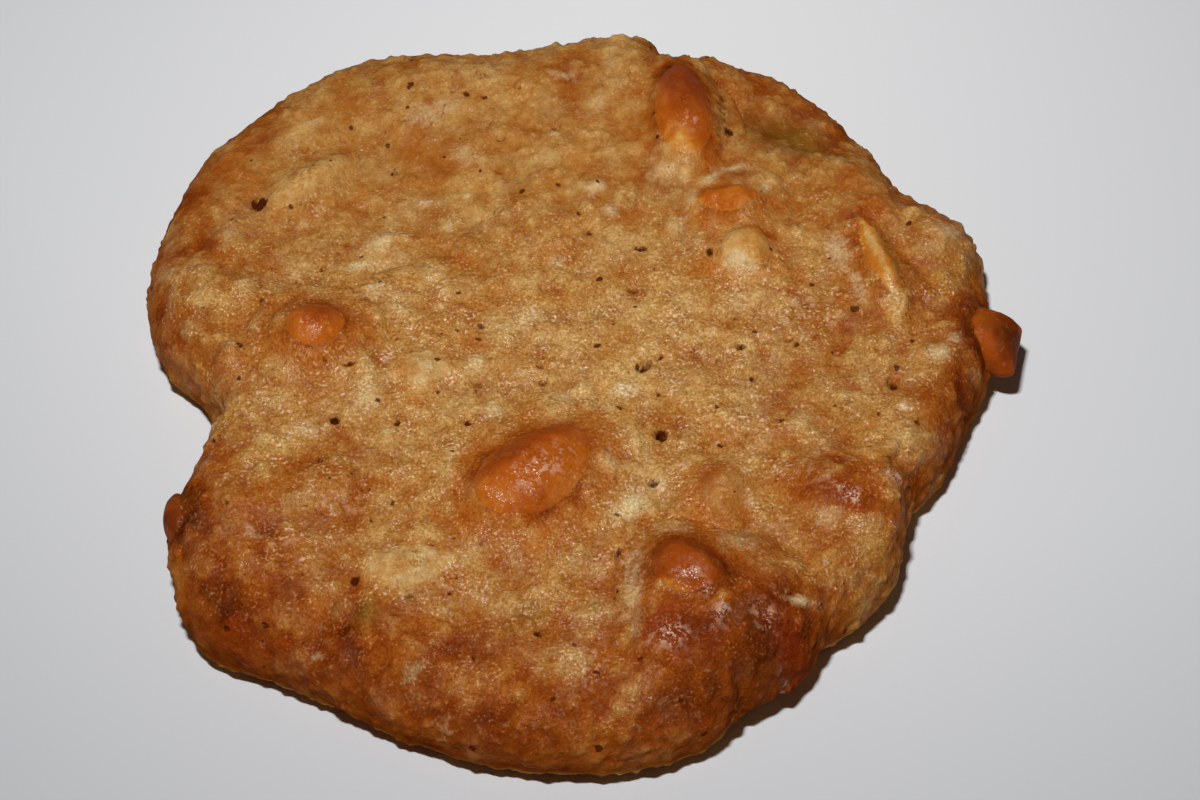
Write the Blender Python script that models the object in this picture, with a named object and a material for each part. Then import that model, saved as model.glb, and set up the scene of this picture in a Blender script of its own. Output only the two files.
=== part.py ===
"""Peanut cookie: one baked disc of dough with roasted peanut pieces set in its top and rim.

Sizes are in millimetres and become metres when a mesh is made. +Z is up. The cookie
rests on its flat base at z = 0, and the origin is in the middle of that base.
"""
import math

import bmesh
import bpy
from mathutils import Matrix, Vector

MM = 0.001

# --- dough: its edge seen from above ---------------------------------------
# (bearing in degrees from +X, distance from the middle) at the widest height of the rim.
EDGE = (
    (0, 35.4), (16, 37.0), (22, 37.6), (27, 36.7), (32, 35.2), (38, 34.9), (45, 36.6),
    (56, 38.1), (63, 38.7), (69, 38.1), (74, 36.6), (77, 35.6), (80, 37.6), (83, 38.4),
    (95, 36.9), (104, 36.8), (112, 39.3), (123, 41.6), (137, 42.1), (147, 42.2), (160, 40.6),
    (170, 38.9), (177, 36.9), (183, 33.6), (190, 32.5), (197, 34.6), (202, 37.4),
    (209, 39.7), (220, 41.4), (230, 39.0), (238, 38.1), (250, 38.2), (268, 38.4),
    (281, 38.0), (287, 37.1), (292, 35.4), (299, 34.5), (304, 33.5), (311, 33.7),
    (319, 33.7), (327, 31.9), (334, 31.1), (344, 32.8), (352, 33.5),
)
MEAN_RADIUS = 36.5       # the round that the wavy edge calms down to towards the middle

# --- dough: its profile from the middle to the base ------------------------
TOP_HEIGHT = 9.0         # the plain top between lumps
BULGE_HEIGHT = 3.8       # where the rim is widest
FLAT_SHARE = 0.84        # share of the radius that is top, before the rim turns down
FLAT_RINGS_SHARE = 0.77  # share of the top's rings that this flat part takes
UNDERCUT = 3.0           # how far the base edge lies inside the widest line
TOP_CELLS = 32           # the top is a grid of this many cells each way
UNDER_RINGS = 4          # rings between the widest line and the base

# --- dough: broad swells (+) and hollows (-) of the top --------------------
# (x, y, reach along, reach across, turn in degrees, rise)
SWELLS = (
    (12.0, -27.5, 9.0, 7.0, 0, 2.0),       # browned mound at the front right
    (-4.0, -13.5, 9.0, 6.5, 42, 0.8),      # round the middle peanut
    (-23.0, 1.8, 4.8, 4.8, 0, 1.3),        # round the left peanut
    (13.5, 12.5, 6.0, 8.0, 0, 0.6),        # round the pale pair
    (25.0, 9.5, 8.0, 4.0, 107, 0.7),       # round the long flake
    (21.5, -14.5, 6.0, 4.0, -20, 1.1),     # right front lobe
    (-27.0, -23.0, 9.0, 7.0, -30, 0.7),    # left front lobe
    (-22.0, 18.0, 17.0, 11.0, 20, -0.9),   # lower, smoother back left
    (18.0, 27.0, 7.0, 5.0, -35, -1.4),     # sunken shelf at the back right
    (-19.5, -26.5, 3.0, 1.6, 60, -0.9),    # crevice beside the left front lobe
    (-28.0, -16.0, 3.6, 3.0, 0, 0.6),      # bump above the left front lobe
    (25.5, -12.5, 2.6, 2.6, 0, 0.8),       # small dome at the right front
    (-12.0, 31.5, 7.0, 3.5, 5, 0.7),       # puffed back rim
    (-31.0, 8.0, 6.0, 4.0, 80, 0.6),       # puffed left rim
    (6.0, -33.0, 9.0, 3.0, 10, 0.5),       # puffed front rim
    (18.0, -22.5, 1.6, 5.0, 20, -0.8),     # fold behind the browned mound
)

# --- peanuts ---------------------------------------------------------------
SEAT_GAP = 0.3           # air between a peanut and its pocket in the dough
NUT_SIDES = 12
NUT_RINGS = 8
NUT_TAPER = 0.16         # how much thinner a kernel is at its pointed end

# name: (middle x, y, z), (half length, half width, half height), turn, pitch, browning
NUTS = {
    "peanut_middle": ((-3.7, -13.4, 8.6), (6.6, 4.4, 3.4), 42, 0, "dark"),
    "peanut_back": ((8.8, 25.4, 8.4), (6.4, 3.0, 3.1), 96, 4, "dark"),
    "peanut_left": ((-22.7, 1.2, 9.2), (3.4, 2.9, 2.7), 20, 0, "dark"),
    "peanut_mound": ((9.0, -24.3, 10.0), (3.9, 3.1, 2.8), -30, 0, "dark"),
    "peanut_right_edge": ((35.9, 2.9, 5.2), (3.5, 2.8, 2.7), -65, 0, "dark"),
    "peanut_folded": ((12.8, 15.2, 9.0), (3.4, 2.0, 1.8), 10, 0, "mid"),
    "peanut_yellow": ((14.3, 10.2, 8.7), (2.9, 2.5, 2.4), 70, 0, "pale"),
    "peanut_long_flake": ((25.2, 9.2, 8.6), (6.2, 1.9, 2.1), 107, 0, "mid"),
    "peanut_right_front": ((21.5, -14.8, 8.3), (4.4, 2.6, 2.5), -20, 0, "dark"),
    "peanut_front_rim": ((15.3, -28.4, 6.2), (2.7, 2.2, 2.2), 40, 0, "dark"),
    "peanut_left_edge": ((-33.7, -15.6, 5.4), (2.7, 1.6, 1.9), 105, 0, "dark"),
    "peanut_front_pale": ((-14.0, -22.3, 8.4), (3.7, 2.0, 1.7), 12, 0, "pale"),
    "peanut_back_left": ((-24.4, 18.6, 7.6), (4.0, 1.5, 1.6), 45, 0, "pale"),
    "peanut_centre_pale": ((-13.3, -2.3, 8.4), (2.3, 1.9, 1.6), 30, 0, "pale"),
    "peanut_orange": ((11.7, -15.8, 8.6), (3.2, 1.9, 1.9), -75, 0, "mid"),
}

# --- materials: (base colour, roughness), linear RGB -----------------------
DOUGH_COLOUR = (0.40, 0.18, 0.055)
NUT_COLOURS = {
    "dark": (0.26, 0.055, 0.010),
    "mid": (0.42, 0.15, 0.030),
    "pale": (0.58, 0.30, 0.090),
}
DOUGH_ROUGHNESS = 0.45
NUT_ROUGHNESS = 0.35


def clear_scene():
    for obj in list(bpy.data.objects):
        bpy.data.objects.remove(obj, do_unlink=True)


def new_collection(name):
    collection = bpy.data.collections.new(name)
    bpy.context.scene.collection.children.link(collection)
    return collection


def new_material(name, colour, roughness):
    material = bpy.data.materials.new(name)
    material.use_nodes = True
    shader = material.node_tree.nodes["Principled BSDF"]
    shader.inputs["Base Color"].default_value = (*colour, 1.0)
    shader.inputs["Roughness"].default_value = roughness
    shader.inputs["Metallic"].default_value = 0.0
    return material


def new_object(name, bm, collection, material):
    mesh = bpy.data.meshes.new(name)
    bm.to_mesh(mesh)
    bm.free()
    mesh.shade_smooth()
    obj = bpy.data.objects.new(name, mesh)
    collection.objects.link(obj)
    if material:
        mesh.materials.append(material)
    return obj


def edge_radius(bearing):
    """Distance from the middle to the widest line, through EDGE in smooth cubic spans."""
    bearing = bearing % 360.0
    count = len(EDGE)
    index = max(i for i in range(count) if EDGE[i][0] <= bearing)

    def knot(i):
        turns, place = divmod(i, count)
        return EDGE[place][0] + 360.0 * turns, EDGE[place][1]

    (a0, r0), (a1, r1), (a2, r2), (a3, r3) = [knot(index + step) for step in (-1, 0, 1, 2)]
    span = a2 - a1
    slope_1 = (r2 - r0) / (a2 - a0) * span
    slope_2 = (r3 - r1) / (a3 - a1) * span
    t = (bearing - a1) / span
    return (
        (2 * t**3 - 3 * t**2 + 1) * r1
        + (t**3 - 2 * t**2 + t) * slope_1
        + (3 * t**2 - 2 * t**3) * r2
        + (t**3 - t**2) * slope_2
    )


def swell(x, y):
    """Sum of the broad lumps and hollows at a place on the top."""
    total = 0.0
    for cx, cy, along, across, turn, rise in SWELLS:
        angle = math.radians(turn)
        dx = x - cx
        dy = y - cy
        u = (dx * math.cos(angle) + dy * math.sin(angle)) / along
        v = (dy * math.cos(angle) - dx * math.sin(angle)) / across
        total += rise * math.exp(-1.5 * (u * u + v * v))
    return total


def ring_and_bearing(a, b):
    """Concentric map of the square -1..1 to a disc: ring 0..1 and bearing in degrees."""
    if a == 0.0 and b == 0.0:
        return 0.0, 0.0
    if abs(a) >= abs(b):
        ring = abs(a)
        bearing = 45.0 * b / a + (0.0 if a > 0 else 180.0)
    else:
        ring = abs(b)
        bearing = 90.0 - 45.0 * a / b + (0.0 if b > 0 else 180.0)
    return ring, bearing % 360.0


def top_point(ring, bearing):
    """Place on the top: flat out to FLAT_SHARE, then a quarter round down to the widest line."""
    if ring < FLAT_RINGS_SHARE:
        share = ring / FLAT_RINGS_SHARE * FLAT_SHARE
        fall = 1.0
    else:
        turn = (ring - FLAT_RINGS_SHARE) / (1.0 - FLAT_RINGS_SHARE) * math.pi / 2
        share = FLAT_SHARE + (1.0 - FLAT_SHARE) * math.sin(turn)
        fall = math.cos(turn)
    wave = edge_radius(bearing) - MEAN_RADIUS
    radius = share * (MEAN_RADIUS + wave * share**2)
    x = radius * math.cos(math.radians(bearing))
    y = radius * math.sin(math.radians(bearing))
    height = TOP_HEIGHT + swell(x, y)
    return Vector((x, y, BULGE_HEIGHT + (height - BULGE_HEIGHT) * fall))


def under_point(step, bearing):
    """Place on the underside of the rim: a quarter round in to the edge of the base."""
    turn = step / UNDER_RINGS * math.pi / 2
    radius = edge_radius(bearing) - UNDERCUT * (1.0 - math.cos(turn))
    x = radius * math.cos(math.radians(bearing))
    y = radius * math.sin(math.radians(bearing))
    return Vector((x, y, BULGE_HEIGHT * (1.0 - math.sin(turn))))


def make_dough(collection, material):
    bm = bmesh.new()
    bmesh.ops.create_grid(bm, x_segments=TOP_CELLS, y_segments=TOP_CELLS, size=1.0)
    for vert in bm.verts:
        ring, bearing = ring_and_bearing(vert.co.x, vert.co.y)
        vert.co = top_point(ring, bearing) * MM
    for step in range(1, UNDER_RINGS + 1):
        border = [edge for edge in bm.edges if edge.is_boundary]
        made = bmesh.ops.extrude_edge_only(bm, edges=border)["geom"]
        for vert in [item for item in made if isinstance(item, bmesh.types.BMVert)]:
            bearing = math.degrees(math.atan2(vert.co.y, vert.co.x))
            vert.co = under_point(step, bearing) * MM
    base_edges = [edge for edge in bm.edges if edge.is_boundary]
    bmesh.ops.triangle_fill(bm, edges=base_edges, use_beauty=True)
    bmesh.ops.recalc_face_normals(bm, faces=bm.faces)
    return new_object("dough", bm, collection, material)


def kernel_mesh(half_sizes, grow):
    """A peanut kernel lying along X: a round form that narrows towards its pointed end."""
    half_length, half_width, half_height = [size + grow for size in half_sizes]
    bm = bmesh.new()
    bmesh.ops.create_uvsphere(bm, u_segments=NUT_SIDES, v_segments=NUT_RINGS, radius=1.0)
    bmesh.ops.rotate(bm, verts=bm.verts, matrix=Matrix.Rotation(math.pi / 2, 3, "Y"))
    for vert in bm.verts:
        narrowing = 1.0 - NUT_TAPER * vert.co.x
        vert.co.x *= half_length * MM
        vert.co.y *= half_width * narrowing * MM
        vert.co.z *= half_height * narrowing * MM
    return bm


def place_kernel(obj, middle, turn, pitch):
    obj.location = Vector(middle) * MM
    obj.rotation_euler = (0.0, math.radians(-pitch), math.radians(turn))


def cut_pocket(dough, cutter):
    cutter.hide_render = True
    cutter.display_type = "WIRE"
    cut = dough.modifiers.new(cutter.name, "BOOLEAN")
    cut.operation = "DIFFERENCE"
    cut.solver = "EXACT"
    cut.object = cutter


def main():
    clear_scene()
    cookie = new_collection("peanut_cookie")
    cutters = new_collection("pocket_cutters")
    baked_dough = new_material("baked_dough", DOUGH_COLOUR, DOUGH_ROUGHNESS)
    roasted = {
        browning: new_material("roasted_peanut_" + browning, colour, NUT_ROUGHNESS)
        for browning, colour in NUT_COLOURS.items()
    }
    dough = make_dough(cookie, baked_dough)
    for name, (middle, half_sizes, turn, pitch, browning) in NUTS.items():
        nut = new_object(name, kernel_mesh(half_sizes, 0.0), cookie, roasted[browning])
        place_kernel(nut, middle, turn, pitch)
        cutter = new_object(name + "_pocket", kernel_mesh(half_sizes, SEAT_GAP), cutters, None)
        place_kernel(cutter, middle, turn, pitch)
        cut_pocket(dough, cutter)


main()
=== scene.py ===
import itertools
import math

import bmesh
import bpy
import numpy as np
from mathutils import Matrix, Vector


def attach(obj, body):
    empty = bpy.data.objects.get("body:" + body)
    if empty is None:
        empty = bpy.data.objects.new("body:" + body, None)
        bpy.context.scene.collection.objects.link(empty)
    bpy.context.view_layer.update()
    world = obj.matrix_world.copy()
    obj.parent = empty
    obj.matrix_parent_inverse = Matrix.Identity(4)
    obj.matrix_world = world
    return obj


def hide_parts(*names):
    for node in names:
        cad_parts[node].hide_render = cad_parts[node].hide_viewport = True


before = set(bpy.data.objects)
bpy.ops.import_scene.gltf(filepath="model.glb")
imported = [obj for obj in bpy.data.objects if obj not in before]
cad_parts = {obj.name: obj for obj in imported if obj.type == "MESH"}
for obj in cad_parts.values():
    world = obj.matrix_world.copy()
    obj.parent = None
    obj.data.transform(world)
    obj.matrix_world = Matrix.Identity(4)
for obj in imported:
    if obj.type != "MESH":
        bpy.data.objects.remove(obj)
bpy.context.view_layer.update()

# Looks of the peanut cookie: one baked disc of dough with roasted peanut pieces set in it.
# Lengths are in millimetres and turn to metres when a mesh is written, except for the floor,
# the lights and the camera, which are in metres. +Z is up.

MM = 0.001


# =====================================================================================
# Sizes of the dough
# =====================================================================================

# Its edge seen from above: (bearing in degrees from +X, distance)
EDGE = (
    (0, 35.4), (16, 37.0), (22, 37.6), (27, 36.7), (32, 35.2), (38, 34.9), (45, 36.6),
    (56, 38.1), (63, 38.7), (69, 38.1), (74, 36.6), (77, 35.6), (80, 37.6), (83, 38.4),
    (95, 36.9), (104, 36.8), (112, 39.3), (123, 41.6), (137, 42.1), (147, 42.2), (160, 40.6),
    (170, 38.9), (177, 36.9), (183, 33.6), (190, 32.5), (197, 34.6), (202, 37.4),
    (209, 39.7), (220, 41.4), (230, 39.0), (238, 38.1), (250, 38.2), (268, 38.4),
    (281, 38.0), (287, 37.1), (292, 35.4), (299, 34.5), (304, 33.5), (311, 33.7),
    (319, 33.7), (327, 31.9), (334, 31.1), (344, 32.8), (352, 33.5),
)
MEAN_RADIUS = 36.5       # the round that the wavy edge calms down to towards the middle
TOP_HEIGHT = 9.0         # the plain top between lumps
BULGE_HEIGHT = 3.8       # where the rim is widest
FLAT_SHARE = 0.84        # share of the radius that is top, before the rim turns down
FLAT_RINGS_SHARE = 0.77  # share of the top's rings that this flat part takes
UNDERCUT = 3.0           # how far the base edge lies inside the widest line
TOP_CELLS = 290          # the top is a grid of this many cells each way, about 0.3 mm apart
UNDER_RINGS = 7          # rings between the widest line and the base
BASE_SHARES = (0.97, 0.9, 0.7)   # rings in the flat base, as shares of its edge

# Broad swells (+) and hollows (-) of the top: (x, y, along, across, turn in degrees, rise)
SWELLS = (
    (12.0, -27.5, 9.0, 7.0, 0, 2.0),       # browned mound at the front right
    (-4.0, -13.5, 9.0, 6.5, 42, 0.8),      # round the middle peanut
    (-23.0, 1.8, 4.8, 4.8, 0, 1.3),        # round the left peanut
    (13.5, 12.5, 6.0, 8.0, 0, 0.6),        # round the pale pair
    (25.0, 9.5, 8.0, 4.0, 107, 0.7),       # round the long flake
    (21.5, -14.5, 6.0, 4.0, -20, 1.1),     # right front lobe
    (-27.0, -23.0, 9.0, 7.0, -30, 0.7),    # left front lobe
    (-22.0, 18.0, 17.0, 11.0, 20, -0.9),   # lower, smoother back left
    (18.0, 27.0, 7.0, 5.0, -35, -1.4),     # sunken shelf at the back right
    (-19.5, -26.5, 3.0, 1.6, 60, -0.9),    # crevice beside the left front lobe
    (-28.0, -16.0, 3.6, 3.0, 0, 0.6),      # bump above the left front lobe
    (25.5, -12.5, 2.6, 2.6, 0, 0.8),       # small dome at the right front
    (-12.0, 31.5, 7.0, 3.5, 5, 0.7),       # puffed back rim
    (-31.0, 8.0, 6.0, 4.0, 80, 0.6),       # puffed left rim
    (6.0, -33.0, 9.0, 3.0, 10, 0.5),       # puffed front rim
    (18.0, -22.5, 2.0, 5.0, 20, -0.6),     # fold behind the browned mound
)


# =====================================================================================
# Noise and soft shapes, all on numpy arrays of points
# =====================================================================================

NOISE_TABLE = 256        # cells that the noises tell apart before they repeat
NOISE_GAIN = 1.7         # brings the smooth noise to about -1 to 1
BUMP_WIDTH = 0.16        # square of how far a bump reaches, in cells
SPOT_FADE = 1.5          # how quickly a soft spot fades: to 0.22 on its own oval


def cell_pick(table, cells):
    """A fixed random number from the table for each cell."""
    last = NOISE_TABLE - 1
    return table[(table[(table[cells[:, 0] & last] + cells[:, 1]) & last] + cells[:, 2]) & last]


def gradient_noise(points, size, seed):
    """Smooth noise, about -1 to 1, with lumps about `size` across."""
    rng = np.random.default_rng(seed)
    table = rng.permutation(NOISE_TABLE)
    slopes = rng.normal(size=(NOISE_TABLE, 3))
    slopes /= np.linalg.norm(slopes, axis=1, keepdims=True)
    scaled = points / size
    cell = np.floor(scaled).astype(int)
    inside = scaled - cell
    fade = inside**3 * (inside * (inside * 6 - 15) + 10)
    total = np.zeros(len(points))
    for corner in itertools.product((0, 1), repeat=3):
        pick = cell_pick(table, cell + corner)
        weight = np.where(corner, fade, 1 - fade).prod(axis=1)
        total += weight * ((inside - corner) * slopes[pick]).sum(axis=1)
    return NOISE_GAIN * total


def bump_noise(points, size, seed):
    """Soft round bumps of uneven height, one in each cell about `size` across: 0 to about 1."""
    rng = np.random.default_rng(seed)
    table = rng.permutation(NOISE_TABLE)
    shifts = rng.random((NOISE_TABLE, 3))
    heights = rng.random(NOISE_TABLE)
    scaled = points / size
    cell = np.floor(scaled).astype(int)
    total = np.zeros(len(points))
    for corner in itertools.product((-1, 0, 1), repeat=3):
        key = cell + corner
        pick = cell_pick(table, key)
        squared = ((scaled - key - shifts[pick]) ** 2).sum(axis=1)
        total += heights[pick] * np.exp(-squared / BUMP_WIDTH)
    return total


def noise_layers(points, layers):
    """Sum of smooth noises, each (size, seed, strength)."""
    total = np.zeros(len(points))
    for size, seed, strength in layers:
        total += strength * gradient_noise(points, size, seed)
    return total


def smooth_step(low, high, value):
    """Goes smoothly from 0 at `low` to 1 at `high`, which may be the lesser of the two."""
    t = np.clip((value - low) / (high - low), 0, 1)
    return t * t * (3 - 2 * t)


def squared_reach(x, y, cx, cy, along, across, turn):
    """How far each place is from a turned oval's middle: 1 on the oval itself, squared."""
    angle = math.radians(turn)
    dx = x - cx
    dy = y - cy
    u = (dx * math.cos(angle) + dy * math.sin(angle)) / along
    v = (dy * math.cos(angle) - dx * math.sin(angle)) / across
    return u * u + v * v


def soft_spots(x, y, spots):
    """Sum of soft round spots, each (x, y, along, across, turn, amount)."""
    total = np.zeros(len(x))
    for *oval, amount in spots:
        total += amount * np.exp(-SPOT_FADE * squared_reach(x, y, *oval))
    return total


# =====================================================================================
# Sizes of the peanuts
# =====================================================================================

NUT_TAPER = 0.16         # how much thinner a kernel is at its pointed end
NUT_ROUGH = 0.75         # share of the dough's relief that also shows on a kernel
NUT_UPPER = (-0.2, 0.3)  # heights on a kernel, in half heights, between which the relief starts
NUT_SIDES = 80           # a kernel is a ball of this many strips
NUT_ROUNDS = 56          # and of this many rings, from end to end

# How much thinner a kernel is at its pointed end, where that isn't NUT_TAPER
NUT_TAPERS = {"peanut_right_edge": 0.3, "peanut_long_flake": 0.3, "peanut_orange": 0.35}

# Which way each kernel's pointed end lies, in degrees from +X
NUT_TURNS = {
    "peanut_middle": 42, "peanut_back": 96, "peanut_left": 20, "peanut_mound": -30,
    "peanut_right_edge": -65, "peanut_folded": 10, "peanut_yellow": 70,
    "peanut_long_flake": 107, "peanut_right_front": -20, "peanut_front_rim": 40,
    "peanut_left_edge": 105, "peanut_front_pale": 12, "peanut_back_left": 45,
    "peanut_centre_pale": 30, "peanut_orange": -75,
}

# Cut nuts that lie level with the dough, where it is smooth
FLUSH_NUTS = ("peanut_front_pale", "peanut_back_left", "peanut_centre_pale", "peanut_orange")

# How the dough meets each peanut in the top: (width of the fillet, how far out its skirt starts,
# with the peanut's outline at 1 and its half width as the step)
SKIRTS = {
    "peanut_middle": (1.0, 1.8), "peanut_back": (1.0, 1.8), "peanut_left": (1.4, 1.9),
    "peanut_mound": (0.8, 1.8), "peanut_folded": (0.8, 2.0), "peanut_yellow": (0.8, 1.8),
    "peanut_long_flake": (0.8, 2.1), "peanut_right_front": (1.0, 2.1),
    "peanut_front_pale": (0.8, 2.2), "peanut_back_left": (0.8, 2.2),
    "peanut_centre_pale": (0.8, 2.2), "peanut_orange": (0.8, 2.3),
}

# A kernel's long ridge: (side, half width, rise), the first two in half widths of the kernel
RIDGES = {
    "peanut_middle": (0.4, 0.4, 0.5), "peanut_mound": (0.2, 0.25, 0.4),
    "peanut_long_flake": (-0.4, 0.4, 0.5), "peanut_folded": (0.4, 0.4, 0.4),
}
NO_RIDGE = (0.0, 1.0, 0.0)

# Tone of the skirt round each nut, tone of its crown, and how orange the skirt is
NUT_TONES = {
    "peanut_middle": (0.48, 0.66, 0.90), "peanut_back": (0.50, 0.70, 0.4),
    "peanut_left": (0.50, 0.60, 0.9), "peanut_mound": (0.62, 0.80, 0.6),
    "peanut_right_edge": (0.80, 0.90, 0.3), "peanut_folded": (0.44, 0.54, 0.8),
    "peanut_yellow": (0.32, 0.32, 0.9), "peanut_long_flake": (0.44, 0.44, 0.6),
    "peanut_right_front": (0.48, 0.58, 0.7), "peanut_front_rim": (0.82, 0.84, 0.5),
    "peanut_left_edge": (0.84, 0.96, 0.4), "peanut_front_pale": (0.38, 0.06, 0.4),
    "peanut_back_left": (0.34, 0.24, 0.2), "peanut_centre_pale": (0.28, 0.08, 0.5),
    "peanut_orange": (0.38, 0.40, 1.0),
}

# A broken kernel's outer side comes to a blunt corner: how much it narrows to both ends
CORNERS = {"peanut_right_edge": 0.6}

# Unevenly roasted places on the kernels, and one painted highlight: (u, v, along, across, tone,
# amount). u runs along the kernel to its pointed end and v across it, both 1 at its outline.
NUT_PATCHES = {
    "peanut_middle": (
        (0.35, 0.45, 0.6, 0.25, 0.78, 0.9), (-0.25, 0.45, 0.4, 0.25, 0.84, 0.8),
        (-0.9, 0.0, 0.35, 0.7, 0.56, 0.8), (0.3, -0.7, 0.6, 0.3, 0.54, 0.7),
        (-0.45, -0.6, 0.5, 0.2, 0.70, 0.7),
    ),
    "peanut_back": (
        (0.5, -0.1, 0.7, 0.9, 0.86, 0.8), (-0.1, 0.8, 0.6, 0.4, 0.58, 0.7),
        (-0.85, 0.35, 0.4, 0.7, 0.26, 0.8), (-0.7, -0.6, 0.3, 0.3, 0.72, 0.7),
    ),
    "peanut_left": ((0.15, 0.15, 0.5, 0.5, 0.74, 0.9), (-0.2, -0.9, 0.8, 0.3, 0.56, 0.7)),
    "peanut_mound": (
        (0.05, 0.62, 0.8, 0.25, 0.92, 0.9), (-0.7, 0.05, 0.22, 0.5, 0.86, 0.8),
        (0.75, 0.3, 0.25, 0.5, 0.88, 0.7), (-0.1, -0.75, 0.5, 0.14, 0.24, 0.6),
        (0.0, -0.1, 0.6, 0.4, 0.76, 0.6),
    ),
    "peanut_folded": ((0.0, 0.2, 0.8, 0.8, 0.62, 0.8), (-0.95, 0.1, 0.25, 0.7, 0.20, 0.8)),
    "peanut_yellow": (
        (0.7, -0.1, 0.35, 0.7, 0.52, 0.9), (-0.8, -0.1, 0.35, 0.7, 0.0, 1.0),
        (0.95, -0.85, 0.4, 0.3, 0.74, 0.7),
    ),
    "peanut_long_flake": (
        (0.75, -0.2, 0.3, 0.9, 0.68, 0.8), (0.0, 0.7, 0.5, 0.35, 0.52, 0.8),
        (0.0, -0.05, 0.8, 0.22, 0.20, 0.9), (-0.95, 0.0, 0.25, 0.6, 0.0, 0.9),
    ),
    "peanut_right_front": ((0.2, -0.5, 0.9, 0.5, 0.78, 0.8), (0.0, 0.7, 0.8, 0.4, 0.48, 0.6)),
    "peanut_front_pale": (
        # the cream patch near its pointed end, at u 0.65, is a painted highlight
        (-0.15, 0.0, 0.3, 0.5, 0.44, 0.9), (0.65, 0.1, 0.35, 0.5, 0.0, 1.0),
        (-0.8, 0.2, 0.4, 0.6, 0.12, 0.8),
    ),
    "peanut_orange": ((-0.6, 0.0, 0.5, 0.7, 0.54, 0.7),),
    "peanut_right_edge": (
        (0.25, 0.3, 0.45, 0.45, 1.0, 0.9), (-0.6, 0.0, 0.35, 0.6, 0.82, 0.8),
        (0.1, -0.5, 0.6, 0.3, 0.70, 0.7), (0.3, 0.95, 0.7, 0.15, 0.55, 0.8),
    ),
}


# =====================================================================================
# Form of the dough
# =====================================================================================

# Open pores in the top: (x, y, half length, half width, turn, depth)
PORES = (
    (-28.8, 16.5, 1.1, 0.8, -50, 1.6), (-22.9, 9.2, 0.5, 0.45, 0, 1.5),
    (-27.1, 9.2, 0.4, 0.35, 0, 0.9), (-25.1, 7.6, 0.5, 0.3, 20, 0.6),
    (-16.8, 20.4, 0.7, 0.5, 20, 0.7), (-2.4, 24.5, 0.5, 0.35, 0, 0.8),
    (-7.4, 23.6, 0.6, 0.4, 0, 0.4), (-3.5, 6.4, 0.4, 0.3, 10, 0.8),
    (-2.1, 10.7, 0.35, 0.3, 0, 0.7), (0.6, 12.5, 0.5, 0.4, 0, 1.0),
    (-15.7, 5.1, 0.25, 0.4, 0, 0.7), (-15.0, 1.6, 0.3, 0.25, 0, 0.7),
    (-16.1, 0.9, 0.3, 0.25, 0, 0.6), (-3.5, -2.0, 0.5, 0.35, 0, 0.8),
    (-3.4, -3.7, 0.5, 0.35, 0, 0.8), (-19.9, -2.3, 0.7, 0.3, 15, 0.8),
    (-21.9, -2.3, 0.45, 0.25, -40, 0.6), (5.1, 10.7, 0.65, 0.4, 5, 1.1),
    (11.1, 9.7, 0.4, 0.75, 20, 1.1), (6.2, 8.5, 0.25, 0.4, 0, 0.5),
    (4.3, 6.2, 0.6, 0.4, -15, 1.0), (13.6, 0.1, 0.5, 0.5, 0, 1.1), (17.7, 0.9, 0.7, 0.3, 0, 0.5),
    (28.4, 1.6, 0.4, 0.35, 0, 0.8), (-29.1, -6.9, 0.3, 0.35, 0, 0.6),
    (-20.9, -7.4, 0.55, 0.5, 0, 1.7), (-25.4, -10.5, 0.25, 0.25, 0, 0.6),
    (-19.4, -11.2, 0.3, 0.25, 0, 0.9), (-22.1, -11.8, 0.5, 0.5, 0, 0.7),
    (-15.7, -11.2, 0.4, 0.25, -30, 0.7), (-18.4, -14.4, 0.25, 0.5, 10, 0.7),
    (-9.7, -7.8, 0.45, 0.4, 0, 1.2), (-8.8, -6.9, 0.35, 0.3, 0, 0.8),
    (-8.8, -3.8, 0.4, 0.35, 0, 0.9), (-11.5, -11.9, 0.3, 0.25, 0, 0.5),
    (-14.3, -16.3, 0.3, 0.5, 20, 0.4), (6.7, -9.0, 0.6, 0.75, 0, 1.7),
    (9.6, -9.6, 0.3, 0.25, 0, 0.8), (14.5, -3.1, 0.35, 0.55, 30, 0.9),
    (26.4, -3.7, 0.5, 0.65, 30, 1.0), (25.9, -11.8, 0.5, 0.3, -30, 0.6),
    (10.6, -7.6, 0.2, 0.2, 0, 0.8), (6.6, -7.5, 0.2, 0.15, 0, 0.6),
    (3.1, -20.9, 0.35, 0.8, 0, 1.1), (2.9, -25.3, 0.5, 0.25, 25, 0.8),
    (4.6, -18.8, 0.4, 0.2, -20, 0.7), (-18.6, -23.6, 0.45, 0.5, 0, 1.6),
    (-10.3, -23.3, 0.2, 0.3, 0, 0.8), (-19.7, -28.0, 1.0, 0.3, 25, 0.9),
    (-3.4, -28.4, 0.7, 0.35, 15, 1.1), (-27.4, -20.6, 0.4, 0.3, 0, 0.7),
    (-29.0, -20.7, 0.5, 0.25, 0, 0.4), (-14.1, -25.2, 0.6, 0.3, 0, 0.5),
    (13.1, 23.6, 0.5, 0.6, 0, 0.8), (-9.4, 30.6, 0.9, 0.6, 30, 0.6),
    (5.4, -1.9, 1.0, 0.5, 45, 0.9), (6.6, -0.9, 0.6, 0.4, 30, 0.6),
    (6.0, -13.9, 0.8, 0.5, 10, 0.7),
)

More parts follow.
